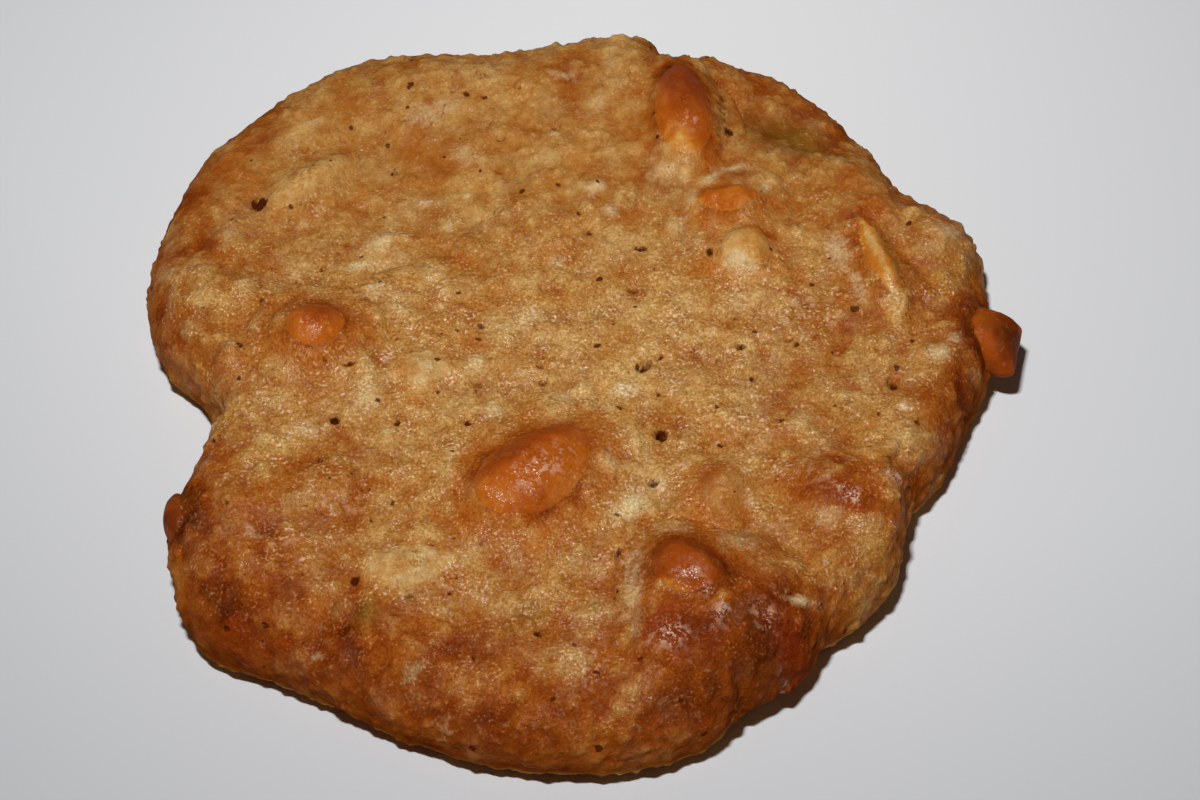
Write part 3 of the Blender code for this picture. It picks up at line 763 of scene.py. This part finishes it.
# Uneven baking: noises, each (size, seed, strength)
RAGGED_RIM = ((5.0, 31, 0.06), (1.8, 32, 0.04))
UNEVEN_TONE = ((6.0, 34, 0.06), (2.2, 35, 0.05))
UNEVEN_PALE = ((1.2, 33, 0.15),)
GOLDEN_CLOUDS = ((4.0, 36, 0.25),)
RAGGED_SKIRT = ((1.3, 37, 0.2),)
RAGGED_CROWN = ((1.4, 38, 0.15),)
RAGGED_PATCH = ((0.9, 39, 0.3),)

# How far out each tone reaches on and round a nut, from none to full: 1 is the nut's outline
SKIRT_TONE_REACH = (1.8, 0.9)
CROWN_TONE_REACH = (1.15, 0.75)
PATCH_TONE_REACH = (1.4, 0.4)    # here 1 is the patch's own outline
CROWN_LESS_GOLDEN = 0.6
FLUSH_LESS_LIVELY = 0.7

# Where the crumb is lively, that is grainy and wet: least at the back and on the side of the rim
BACK_DULLER = 0.8        # the back of the top has this much less sparkle
BACK_START = (4, 22)     # y where that starts and is full
RIM_DULL = (1.02, 0.94)  # shares of the radius where the crumb is dull and lively
LEAST_LIVELY = 0.15


def baked_masks(points, bearing, under, seats):
    """Masks that the materials read, 0 to 1, at each point of the dough or of a nut in it."""
    x = points[:, 0]
    y = points[:, 1]
    z = points[:, 2]
    upper = np.where(under, 0.0, 1.0)
    share = np.hypot(x, y) / edge_distance(bearing)
    bake = np.array(RIM_BAKE)
    strength = np.interp(bearing, bake[:, 0], bake[:, 1])
    start = np.interp(bearing, bake[:, 0], bake[:, 2])
    ragged = noise_layers(points, RAGGED_RIM)
    rim = np.clip((share + ragged - start) / (RIM_FULL - start), 0, 1) * strength
    rim = np.where(under, strength * (UNDER_BAKE[0] + UNDER_BAKE[1] * z / BULGE_HEIGHT), rim)
    spots = soft_spots(x, y, TONE_SPOTS) * (UNDER_SPOTS + (1 - UNDER_SPOTS) * upper)
    tone = PLAIN_TONE + RIM_TONE * rim + spots + noise_layers(points, UNEVEN_TONE)
    golden = soft_spots(x, y, GOLDEN_SPOTS) * upper
    golden += np.maximum(noise_layers(points, GOLDEN_CLOUDS), 0)

    # The nuts and the skirts of dough round them
    bare = np.ones(len(x))
    crumbly = np.ones(len(x))
    ragged_skirt, ragged_crown, ragged_patch = (
        noise_layers(points, layers) for layers in (RAGGED_SKIRT, RAGGED_CROWN, RAGGED_PATCH)
    )
    for node, (skirt_tone, crown_tone, skirt_gold) in NUT_TONES.items():
        reach = nut_reach(x, y, seats[node])
        close = smooth_step(*SKIRT_TONE_REACH, reach + ragged_skirt) * upper
        tone += (skirt_tone - tone) * close
        golden += (skirt_gold - golden) * close
        crown = smooth_step(*CROWN_TONE_REACH, reach + ragged_crown) * upper
        tone += (crown_tone - tone) * crown
        golden *= 1 - CROWN_LESS_GOLDEN * crown
        bare *= 1 - crown
        if node in FLUSH_NUTS:
            crumbly *= 1 - FLUSH_LESS_LIVELY * crown
        u, v, _ = nut_frame(x, y, seats[node])
        for cu, cv, along, across, patch_tone, amount in NUT_PATCHES.get(node, ()):
            apart = np.hypot((u - cu) / along, (v - cv) / across) + ragged_patch
            cover = amount * smooth_step(*PATCH_TONE_REACH, apart) * close
            tone += (patch_tone - tone) * cover

    tone -= LIP_PALER * under * np.exp(-(((z - LIP_HEIGHT) / LIP_REACH) ** 2))
    base = smooth_step(*BASE_FADE, z) * under
    tone = tone * (1 - base) + BASE_TONE * base
    pale = soft_spots(x, y, PALE_SPOTS) + noise_layers(points, UNEVEN_PALE)
    lively = 1 - BACK_DULLER * smooth_step(*BACK_START, y)
    lively *= smooth_step(*RIM_DULL, share) * crumbly
    masks = {
        "tone": np.clip(tone, 0, 1),
        "pale": np.clip(pale, 0, 1) * upper * bare,
        "golden": np.clip(golden, 0, 1),
        "lively": (LEAST_LIVELY + (1 - LEAST_LIVELY) * lively) * upper,
    }
    for name, spots in (("olive", OLIVE_SPOTS), ("ruddy", RUDDY_SPOTS), ("sparkle", SPARKLE_SPOTS)):
        masks[name] = np.clip(soft_spots(x, y, spots), 0, 1) * upper
    return masks


# =====================================================================================
# Writing meshes
# =====================================================================================


def write_points(mesh, points, masks):
    """Moves a mesh's points to their places, in millimetres, and stores the masks on them."""
    mesh.vertices.foreach_set("co", (points * MM).astype(np.float32).ravel())
    for name, values in masks.items():
        layer = mesh.attributes.new(name, "FLOAT", "POINT")
        layer.data.foreach_set("value", np.asarray(values, np.float32))
    mesh.update()
    mesh.shade_smooth()


def point_array(mesh):
    """A mesh's points as they are, one row each."""
    co = np.empty(len(mesh.vertices) * 3, np.float32)
    mesh.vertices.foreach_get("co", co)
    return co.reshape(-1, 3).astype(float)


def place_piece(mesh, material, nodes):
    """Puts a finished mesh in the scene as a piece that rides on the cookie's one body."""
    piece = bpy.data.objects.new(mesh.name, mesh)
    bpy.context.scene.collection.objects.link(piece)
    mesh.materials.clear()
    mesh.materials.append(material)
    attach(piece, "root")
    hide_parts(*nodes)


# =====================================================================================
# Materials
# =====================================================================================

# Baked dough from pale crumb, through gold, to the dark crust of the rim
DOUGH_STOPS = (
    (0.00, "#DDBE86"), (0.20, "#D0A461"), (0.38, "#BF8B49"), (0.50, "#AF7636"),
    (0.62, "#A25D22"), (0.74, "#8B3F0E"), (0.86, "#6F2A07"), (1.00, "#4A1804"),
)

# Roasted peanut from pale cut flesh, through gold and amber, to nearly burnt
PEANUT_STOPS = (
    (0.00, "#E4CC9A"), (0.20, "#DBB06A"), (0.38, "#CF8E38"), (0.50, "#C67624"),
    (0.62, "#B95E13"), (0.74, "#A4480F"), (0.86, "#80330B"), (1.00, "#541C07"),
)

# How far each scale of mottling shifts the tone: (size in mm, detail, shift)
DOUGH_MOTTLE = ((4.5, 2.0, 0.30), (1.8, 3.0, 0.42), (0.7, 2.0, 0.34), (0.3, 2.0, 0.20))
PEANUT_MOTTLE = ((3.0, 2.0, 0.15), (1.6, 3.0, 0.28), (0.6, 2.0, 0.22), (0.3, 2.0, 0.15))
MOTTLE_ROUGHNESS = 0.6

# Noise patterns of both materials: (size in mm, detail, roughness)
PATTERNS = {
    "pit_bend": (0.6, 1.0, 0.5),         # bends the cells that hold small pits
    "creases": (2.8, 3.0, 0.5),          # a thin crease runs where this crosses its middle
    "hue": (3.2, 2.0, 0.5),              # warm and pale patches of the crumb
    "grain": (0.25, 2.0, 0.7),           # fine light and dark grain of the crumb
    "specks": (0.25, 0.0, 0.5),          # painted glints: pale specks
    "speck_groups": (2.2, 2.0, 0.5),     # the groups that the specks lie in
    "blots": (0.75, 3.0, 0.5),           # soft painted highlights where the glint specks run together
    "oil": (2.4, 3.0, 0.5),              # patches of the thin oil film
}
PIT_SPACING = 1.7        # cells that may each hold one small pit, in mm
PIT_BEND = 0.5           # how far their outlines are bent, in mm

# What a tone, mask or noise drives: {1: from, 2: to, 3: the value at from, 4: the value at to}
EVEN_CRUST = {1: 0.5, 2: 0.8, 3: 1.0, 4: 0.35}       # dark crust is mottled less
LEAN_CRUMB = {1: 0.45, 2: 0.75, 3: 1.0, 4: 0.2}      # pale crumb is grainy and wet, crust isn't
PIT_SIZES = {1: 0.52, 2: 1.0, 3: 0.02, 4: 0.22}      # in cells; about half of them hold none
PIT_WALL = {1: 0.0, 2: 0.07, 3: 0.0}
CREASE_WIDTH = {1: 0.0, 2: 0.022, 3: 1.0, 4: 0.0}
CREASE_BREAKS = {1: 0.5, 2: 0.62, 3: 0.0}
WARM_PATCHES = {1: 0.5, 2: 0.72, 3: 0.0, 4: 1.0}
COOL_PATCHES = {1: 0.5, 2: 0.28, 3: 0.0, 4: 1.0}
GRAIN_RANGE = {1: 0.3, 2: 0.75}
GRAIN_CRISPNESS = {1: 0.2, 2: 1.0, 3: 0.9, 4: 1.0}
SPECK_BAR = {1: 0.4, 2: 0.64, 3: 0.8, 4: 0.64}       # specks are where their noise is over this
SPECK_EDGE = {1: 0.0, 2: 0.1, 3: 0.0}
DRY_HOLLOWS = {1: 0.3, 2: 0.6, 3: 1.0, 4: 0.0}       # nothing wet shows in the painted shade of the pores and creases
SPARSE_ON_CRUST = {1: 0.2, 2: 0.9, 3: 0.45, 4: 1.0}
BLOT_RANGE = {1: 0.52, 2: 0.63, 3: 0.0, 4: 0.6}
OIL_RANGE = {1: 0.42, 2: 0.62, 3: 0.08, 4: 0.8}

DARK_GRAIN = -0.7        # dark grains are this much of the light ones
GRAIN_TINT = (0.45, 0.62, 1.0)   # light grains are paler, not yellower, than what they lie in
SPARKLE_BAR = -0.12      # the bar is lower at the groups of sparkles, so that more painted glints show
# Colours of the painted glints, on crust and on pale crumb, and of the painted highlight blots
PAINTED_CRUST_GLINT = "#D98A45"
PAINTED_CRUMB_GLINT = "#F3D6BC"
PAINTED_HIGHLIGHT_BLOT = "#F2C6A4"

# Masks stored on the meshes, and those of them whose edges are made ragged
MASKS = ("tone", "pale", "golden", "olive", "ruddy", "painted_hollow_shade", "sparkle", "lively")
RAGGED_MASKS = ("golden", "pale", "olive", "ruddy", "painted_hollow_shade")

# Layers of colour over the baked tone:
# (mask, colour, share, mask values where it starts and is full)
LAYERS = (
    ("warm", "#B5651C", 0.34, 0.0, 1.0),
    ("cool", "#CFAE76", 0.32, 0.0, 1.0),
    ("golden", "#C0631A", 0.44, 0.0, 1.0),
    ("pale", "#EBD29C", 0.80, 0.14, 0.9),
    ("olive", "#75591C", 0.60, 0.1, 1.0),
    ("ruddy", "#8A2C0A", 0.65, 0.1, 1.0),
    # Painted shade: dark lines in the thin creases, dark small pits, and the shade of the pores and
    # deeper creases
    ("crease", "#8A4512", 0.60, 0.0, 1.0),
    ("pit", "#521C06", 0.90, 0.0, 1.0),
    ("painted_hollow_shade", "#481604", 0.95, 0.45, 0.8),
)

OIL_COAT = {"Coat Roughness": 0.2, "Coat IOR": 1.6}
WRINKLE_ROUGHNESS = 0.6

# Operations of the Math nodes
TIMES = {"operation": "MULTIPLY"}
PLUS = {"operation": "ADD"}
MINUS = {"operation": "SUBTRACT"}
GREATER = {"operation": "MAXIMUM"}
CENTRED = {"operation": "SUBTRACT", 1: 0.5}


def linear(hex_colour):
    """sRGB hex to linear RGBA."""
    channels = [int(hex_colour[i:i + 2], 16) / 255 for i in (1, 3, 5)]
    decoded = [c / 12.92 if c <= 0.04045 else ((c + 0.055) / 1.055) ** 2.4 for c in channels]
    return (*decoded, 1.0)


def per_metre(size_mm):
    """Texture scale that makes a pattern's features about this many millimetres across."""
    return 1 / (size_mm * MM)


def add(tree, kind, settings, links):
    """Adds a node. Settings are its properties and its sockets' values. Links feed its sockets
    from another node's first output, or from the output given."""
    node = tree.nodes.new(kind)
    for name, value in settings.items():
        if isinstance(name, str) and hasattr(node, name):
            setattr(node, name, value)
        else:
            node.inputs[name].default_value = value
    for name, source in links.items():
        output = source.outputs[0] if isinstance(source, bpy.types.Node) else source
        tree.links.new(output, node.inputs[name])
    return node


def new_material(name):
    """An empty node material, with its tree."""
    material = bpy.data.materials.new(name)
    material.use_nodes = True
    material.node_tree.nodes.clear()
    return material, material.node_tree


def set_stops(ramp_node, stops):
    """Gives a colour ramp its stops: (position, hex colour)."""
    ramp = ramp_node.color_ramp
    while len(ramp.elements) > 1:
        ramp.elements.remove(ramp.elements[-1])
    ramp.elements[0].position = stops[0][0]
    ramp.elements[0].color = linear(stops[0][1])
    for position, colour in stops[1:]:
        element = ramp.elements.new(position)
        element.color = linear(colour)


def mottled_tone(tree, place, tone, mottle):
    """The baked tone with each scale of mottling on it, and the mottling's noises."""
    calm = add(tree, "ShaderNodeMapRange", EVEN_CRUST, {0: tone})
    noises = []
    for size, detail, shift in mottle:
        noise = add(tree, "ShaderNodeTexNoise",
                    {"Scale": per_metre(size), "Detail": detail, "Roughness": MOTTLE_ROUGHNESS},
                    {"Vector": place})
        shifted = add(tree, "ShaderNodeMath",
                      {"operation": "MULTIPLY_ADD", 1: shift, 2: -0.5 * shift}, {0: noise})
        tone = add(tree, "ShaderNodeMath", {"operation": "MULTIPLY_ADD"},
                   {0: shifted, 1: calm, 2: tone})
        noises.append(noise)
    return tone, noises


def small_pits(tree, place, bend, share):
    """Small pits, each at a random size in its own cell: a mask of painted shade, which also dips
    the dough's bump.
    """
    moved = add(tree, "ShaderNodeVectorMath", {"operation": "SCALE", "Scale": PIT_BEND * MM},
                {0: bend.outputs["Color"]})
    bent = add(tree, "ShaderNodeVectorMath", PLUS, {0: place, 1: moved})
    cells = add(tree, "ShaderNodeTexVoronoi", {"Scale": per_metre(PIT_SPACING)}, {"Vector": bent})
    kind = add(tree, "ShaderNodeSeparateColor", {}, {"Color": cells.outputs["Color"]})
    reach = add(tree, "ShaderNodeMapRange", PIT_SIZES, {0: kind})
    inside = add(tree, "ShaderNodeMath", MINUS, {0: reach, 1: cells.outputs["Distance"]})
    return add(tree, "ShaderNodeMapRange", {**PIT_WALL, 4: share}, {0: inside})


def thin_creases(tree, crossing, breaks, share):
    """Thin broken creases where a noise crosses its middle, painted as dark lines of shade."""
    centred = add(tree, "ShaderNodeMath", CENTRED, {0: crossing})
    away = add(tree, "ShaderNodeMath", {"operation": "ABSOLUTE"}, {0: centred})
    line = add(tree, "ShaderNodeMapRange", CREASE_WIDTH, {0: away})
    broken = add(tree, "ShaderNodeMapRange", {**CREASE_BREAKS, 4: share}, {0: breaks})
    return add(tree, "ShaderNodeMath", TIMES, {0: line, 1: broken})


def layered(tree, colour, masks):
    """The colour with each of the LAYERS over it."""
    for name, layer_colour, share, low, high in LAYERS:
        cover = add(tree, "ShaderNodeMapRange", {1: low, 2: high, 3: 0.0, 4: share},
                    {0: masks[name]})
        mixed = add(tree, "ShaderNodeMix", {"data_type": "RGBA", 7: linear(layer_colour)},
                    {0: cover, 6: colour})
        colour = mixed.outputs[2]
    return colour


def grained(tree, colour, grain, lively, lean, share):
    """The colour with fine light and dark grain, which is strongest on lively pale crumb."""
    swing = add(tree, "ShaderNodeMapRange", {**GRAIN_RANGE, 3: DARK_GRAIN * share, 4: share},
                {0: grain})
    crisp = add(tree, "ShaderNodeMapRange", GRAIN_CRISPNESS, {0: lean})
    for strength in (lively, crisp):
        swing = add(tree, "ShaderNodeMath", TIMES, {0: swing, 1: strength})
    tinted = add(tree, "ShaderNodeVectorMath", {"operation": "SCALE", 0: GRAIN_TINT},
                 {"Scale": swing})
    gain = add(tree, "ShaderNodeVectorMath", {"operation": "ADD", 1: (1.0, 1.0, 1.0)},
               {0: tinted})
    return add(tree, "ShaderNodeVectorMath", TIMES, {0: colour, 1: gain})


def sparkled(tree, colour, noise, masks, dry, wettest, share):
    """The colour with painted glints: pale specks in groups, which run together into painted
    highlight blots.
    """
    bar = add(tree, "ShaderNodeMapRange", SPECK_BAR, {0: noise["speck_groups"]})
    bar = add(tree, "ShaderNodeMath", {"operation": "MULTIPLY_ADD", 1: SPARKLE_BAR},
              {0: masks["sparkle"], 2: bar})
    over = add(tree, "ShaderNodeMath", MINUS, {0: noise["specks"], 1: bar})
    speck = add(tree, "ShaderNodeMapRange", {**SPECK_EDGE, 4: share}, {0: over})
    sparse = add(tree, "ShaderNodeMapRange", SPARSE_ON_CRUST, {0: wettest})
    for strength in (masks["lively"], dry, sparse):
        speck = add(tree, "ShaderNodeMath", TIMES, {0: speck, 1: strength})
    tint = add(tree, "ShaderNodeMix",
               {"data_type": "RGBA", 6: linear(PAINTED_CRUST_GLINT), 7: linear(PAINTED_CRUMB_GLINT)},
               {0: wettest})
    specked = add(tree, "ShaderNodeMix", {"data_type": "RGBA"},
                  {0: speck, 6: colour, 7: tint.outputs[2]})
    blot = add(tree, "ShaderNodeMapRange", BLOT_RANGE, {0: noise["blots"]})
    blot = add(tree, "ShaderNodeMath", TIMES, {0: blot, 1: masks["sparkle"]})
    blotted = add(tree, "ShaderNodeMix", {"data_type": "RGBA", 7: linear(PAINTED_HIGHLIGHT_BLOT)},
                  {0: blot, 6: specked.outputs[2]})
    return blotted.outputs[2]


def oil_film(tree, oil, masks, dry, wettest):
    """Weight of the oil film, which lies in patches and is thickest at the wet groups."""
    film = add(tree, "ShaderNodeMapRange", OIL_RANGE, {0: oil})
    film = add(tree, "ShaderNodeMath", GREATER, {0: film, 1: masks["sparkle"]})
    for strength in (dry, masks["lively"], wettest):
        film = add(tree, "ShaderNodeMath", TIMES, {0: film, 1: strength})
    return film


def baked_surface(tree, stops, mottle, grain_share, speck_share, pit_share):
    """Place, colour with painted shade and glints, mottling noises, pits and oil film of dough or
    nut.
    """
    place = add(tree, "ShaderNodeTexCoord", {}, {}).outputs["Object"]
    masks = {
        name: add(tree, "ShaderNodeAttribute", {"attribute_name": name}, {}).outputs["Fac"]
        for name in MASKS
    }
    noise = {}
    for name, (size, detail, roughness) in PATTERNS.items():
        settings = {"Scale": per_metre(size), "Detail": detail, "Roughness": roughness}
        noise[name] = add(tree, "ShaderNodeTexNoise", settings, {"Vector": place})
    lean = add(tree, "ShaderNodeMapRange", LEAN_CRUMB, {0: masks["tone"]})
    wettest = add(tree, "ShaderNodeMath", GREATER, {0: lean, 1: masks["sparkle"]})
    dry = add(tree, "ShaderNodeMapRange", DRY_HOLLOWS, {0: masks["painted_hollow_shade"]})

    tone, mottling = mottled_tone(tree, place, masks["tone"], mottle)
    ramp = add(tree, "ShaderNodeValToRGB", {}, {"Fac": tone})
    set_stops(ramp, stops)
    ragged = add(tree, "ShaderNodeMath", CENTRED, {0: mottling[2]})
    covers = {
        name: add(tree, "ShaderNodeMath", PLUS, {0: masks[name], 1: ragged})
        for name in RAGGED_MASKS
    }
    covers["warm"] = add(tree, "ShaderNodeMapRange", WARM_PATCHES, {0: noise["hue"]})
    cool = add(tree, "ShaderNodeMapRange", COOL_PATCHES, {0: noise["hue"]})
    covers["cool"] = add(tree, "ShaderNodeMath", TIMES, {0: cool, 1: lean})
    # Painted shade in small pits and along thin creases
    covers["pit"] = small_pits(tree, place, noise["pit_bend"], pit_share)
    covers["crease"] = thin_creases(tree, noise["creases"], mottling[1], pit_share)

    colour = layered(tree, ramp.outputs["Color"], covers)
    colour = grained(tree, colour, noise["grain"], masks["lively"], lean, grain_share)
    colour = sparkled(tree, colour, noise, masks, dry, wettest, speck_share)
    coat = oil_film(tree, noise["oil"], masks, dry, wettest)
    return place, colour, mottling, covers["pit"], coat


def wet_normal(tree, place, normal, size, height):
    """Normal of the oil film: an uneven skin with wrinkles of this size and height, in mm."""
    wrinkles = add(tree, "ShaderNodeTexNoise",
                   {"Scale": per_metre(size), "Detail": 2.0, "Roughness": WRINKLE_ROUGHNESS},
                   {"Vector": place})
    return add(tree, "ShaderNodeBump", {"Strength": 1.0, "Distance": height * MM},
               {"Height": wrinkles, "Normal": normal})


def make_dough_material():
    """Baked peanut dough: soft dull crumb, with wet sparkles where facets face the light and
    painted glints.
    """
    material, tree = new_material("baked_peanut_dough")
    place, colour, noises, pit, coat = baked_surface(
        tree, DOUGH_STOPS, DOUGH_MOTTLE, grain_share=1.0, speck_share=0.6, pit_share=1.0
    )
    dips = add(tree, "ShaderNodeMath", MINUS, {0: noises[2], 1: pit})
    crumb = add(tree, "ShaderNodeBump", {"Strength": 0.7, "Distance": 0.25 * MM},
                {"Height": dips})
    grain = add(tree, "ShaderNodeBump", {"Strength": 0.6, "Distance": 0.12 * MM},
                {"Height": noises[3], "Normal": crumb})
    wet = wet_normal(tree, place, grain, size=0.4, height=0.24)
    shader = add(tree, "ShaderNodeBsdfPrincipled",
                 {"Roughness": 0.6, "IOR": 1.45, "Specular IOR Level": 0.0, **OIL_COAT,
                  "Subsurface Weight": 0.12, "Subsurface Scale": 0.5 * MM,
                  "Subsurface Radius": (1.0, 0.4, 0.12)},
                 {"Base Color": colour, "Normal": grain, "Coat Normal": wet, "Coat Weight": coat})
    add(tree, "ShaderNodeOutputMaterial", {}, {"Surface": shader})
    return material


def make_peanut_material():
    """Roasted peanut: waxy and translucent, its oil gives a tighter gloss than the dough's."""
    material, tree = new_material("roasted_peanut")
    place, colour, noises, _, coat = baked_surface(
        tree, PEANUT_STOPS, PEANUT_MOTTLE, grain_share=0.3, speck_share=0.25, pit_share=0.3
    )
    bump = add(tree, "ShaderNodeBump", {"Strength": 0.6, "Distance": 0.16 * MM},
               {"Height": noises[2]})
    wet = wet_normal(tree, place, bump, size=0.55, height=0.17)
    shader = add(tree, "ShaderNodeBsdfPrincipled",
                 {"Roughness": 0.5, "IOR": 1.46, "Specular IOR Level": 0.02, **OIL_COAT,
                  "Subsurface Weight": 0.15, "Subsurface Scale": 0.7 * MM,
                  "Subsurface Radius": (1.0, 0.45, 0.15)},
                 {"Base Color": colour, "Normal": bump, "Coat Normal": wet, "Coat Weight": coat})
    add(tree, "ShaderNodeOutputMaterial", {}, {"Surface": shader})
    return material


# =====================================================================================
# Peanuts
# =====================================================================================

def make_nut(node, seats, material):
    """One kernel: the seat's tapered ball with the cookie's relief on its upper side."""
    middle, turn, half, taper = seats[node]
    bm = bmesh.new()
    bmesh.ops.create_uvsphere(bm, u_segments=NUT_SIDES, v_segments=NUT_ROUNDS, radius=1.0)
    bmesh.ops.rotate(bm, verts=bm.verts, matrix=Matrix.Rotation(math.pi / 2, 3, "Y"))
    mesh = bpy.data.meshes.new("roasted_" + node)
    bm.to_mesh(mesh)
    bm.free()
    ball = point_array(mesh)
    narrowing = np.minimum(1 - taper * ball[:, 0], 1 + NUT_TAPER)
    along = ball[:, 0] * half[0]
    across = ball[:, 1] * half[1] * narrowing
    corner = 1 - CORNERS.get(node, 0.0) * np.abs(ball[:, 0])
    across *= np.where(across > 0, corner, 1.0)
    x = middle[0] + along * math.cos(turn) - across * math.sin(turn)
    y = middle[1] + along * math.sin(turn) + across * math.cos(turn)
    z = middle[2] + ball[:, 2] * half[2] * narrowing

    # Its masks and relief are those of the plain top over it, so that they run on into the dough
    skin = np.stack([x, y, TOP_HEIGHT + soft_spots(x, y, SWELLS)], axis=1)
    bearing = np.degrees(np.arctan2(y, x)) % 360
    masks = baked_masks(skin, bearing, np.zeros(len(x), bool), seats)
    masks["painted_hollow_shade"] = np.zeros(len(x))
    upper = smooth_step(*NUT_UPPER, ball[:, 2])
    u, v, _ = nut_frame(x, y, seats[node])
    side, width, rise = RIDGES.get(node, NO_RIDGE)
    over = np.clip(1 - u**2 - v**2, 0, 1) * upper
    z += rise * over * np.exp(-(((v - side) / width) ** 2))
    z += relief(skin) * NUT_ROUGH * upper
    write_points(mesh, np.stack([x, y, z], axis=1), masks)
    place_piece(mesh, material, [node])


# =====================================================================================
# Floor, light and camera, in metres
# =====================================================================================

FLOOR_SIZE = 4.0
FLOOR_DROP = 0.00002     # it lies this far under the cookie, so that no two faces share a plane
# The card's painted pool of light: brightest round this place, greyer further off
FLOOR_LIGHT_POOL_MIDDLE = (0.02, 0.07, 0.0)
FLOOR_LIGHT_POOL_FADE = {1: 0.02, 2: 0.15}      # distances from there where the painted light starts to fade and where it is gone
FLOOR_LIGHT_POOL_STOPS = ((0.0, "#F4F6FA"), (0.5, "#E6E9EE"), (1.0, "#C0C3C8"))

SENSOR_WIDTH = 22.2      # millimetres, and the lens too
LENS = 66.8
CAMERA_TARGET = (0.0015, -0.00285, 0.005)
CAMERA_HEIGHT_ANGLE = 55         # degrees above the floor, straight from the front
CAMERA_DISTANCE = 0.311
CLIP_START = 0.01
ROOM_COLOUR = "#F2DCC4"
ROOM_STRENGTH = 0.03


def make_floor():
    """Smooth white card with a painted pool of light, brighter behind the cookie than in front."""
    bpy.ops.mesh.primitive_plane_add(size=FLOOR_SIZE, location=(0, 0, -FLOOR_DROP))
    floor = bpy.context.object
    floor.name = "white_card"
    material, tree = new_material("smooth_white_card")
    place = add(tree, "ShaderNodeTexCoord", {}, {}).outputs["Object"]
    away = add(tree, "ShaderNodeVectorMath", {"operation": "DISTANCE", 1: FLOOR_LIGHT_POOL_MIDDLE},
               {0: place})
    shade = add(tree, "ShaderNodeMapRange", FLOOR_LIGHT_POOL_FADE, {0: away.outputs["Value"]})
    ramp = add(tree, "ShaderNodeValToRGB", {}, {"Fac": shade})
    set_stops(ramp, FLOOR_LIGHT_POOL_STOPS)
    shader = add(tree, "ShaderNodeBsdfPrincipled", {"Roughness": 0.8, "Specular IOR Level": 0.2},
                 {"Base Color": ramp})
    add(tree, "ShaderNodeOutputMaterial", {}, {"Surface": shader})
    floor.data.materials.append(material)


def aim(obj, place, target):
    """Puts a light or camera at a place and turns it to look at the target."""
    obj.location = place
    obj.rotation_euler = (Vector(target) - Vector(place)).to_track_quat("-Z", "Y").to_euler()


def make_light(name, place, target, width, depth, power, spread, colour):
    """A flat rectangular light that throws a beam `spread` degrees wide."""
    data = bpy.data.lights.new(name, "AREA")
    data.shape = "RECTANGLE"
    data.size = width
    data.size_y = depth
    data.energy = power
    data.spread = math.radians(spread)
    data.color = linear(colour)[:3]
    light = bpy.data.objects.new(name, data)
    bpy.context.scene.collection.objects.link(light)
    aim(light, place, target)


def make_world():
    """A very dim warm room round the cookie."""
    world = bpy.data.worlds.new("studio")
    bpy.context.scene.world = world
    world.use_nodes = True
    background = world.node_tree.nodes["Background"]
    background.inputs["Color"].default_value = linear(ROOM_COLOUR)
    background.inputs["Strength"].default_value = ROOM_STRENGTH


def make_camera():
    """The camera, in front of the cookie and looking down on it."""
    data = bpy.data.cameras.new("camera")
    data.sensor_width = SENSOR_WIDTH
    data.lens = LENS
    data.clip_start = CLIP_START
    camera = bpy.data.objects.new("camera", data)
    bpy.context.scene.collection.objects.link(camera)
    rise = math.radians(CAMERA_HEIGHT_ANGLE)
    away = Vector((0.0, -math.cos(rise), math.sin(rise))) * CAMERA_DISTANCE
    aim(camera, Vector(CAMERA_TARGET) + away, CAMERA_TARGET)
    bpy.context.scene.camera = camera


# =====================================================================================
# Build
# =====================================================================================

seats = nut_seats()
dough_material = make_dough_material()
peanut_material = make_peanut_material()

dough_mesh = ring_sheet()
dough_points, dough_masks = shape_dough(point_array(dough_mesh), seats)
write_points(dough_mesh, dough_points, dough_masks)
place_piece(dough_mesh, dough_material, ["dough"])

for node in NUT_TURNS:
    make_nut(node, seats, peanut_material)

make_floor()
make_light("key", place=(-0.025, -0.096, 0.312), target=(0.0, 0.06, 0.0),
           width=0.025, depth=0.012, power=0.335, spread=110, colour="#FFFEFC")
make_light("back_fill", place=(0.2, 0.6, 0.5), target=(0.0, 0.0, 0.005),
           width=0.6, depth=0.6, power=0.04, spread=180, colour="#FFF4E6")
make_world()
make_camera()
bpy.context.scene.view_settings.view_transform = "Standard"
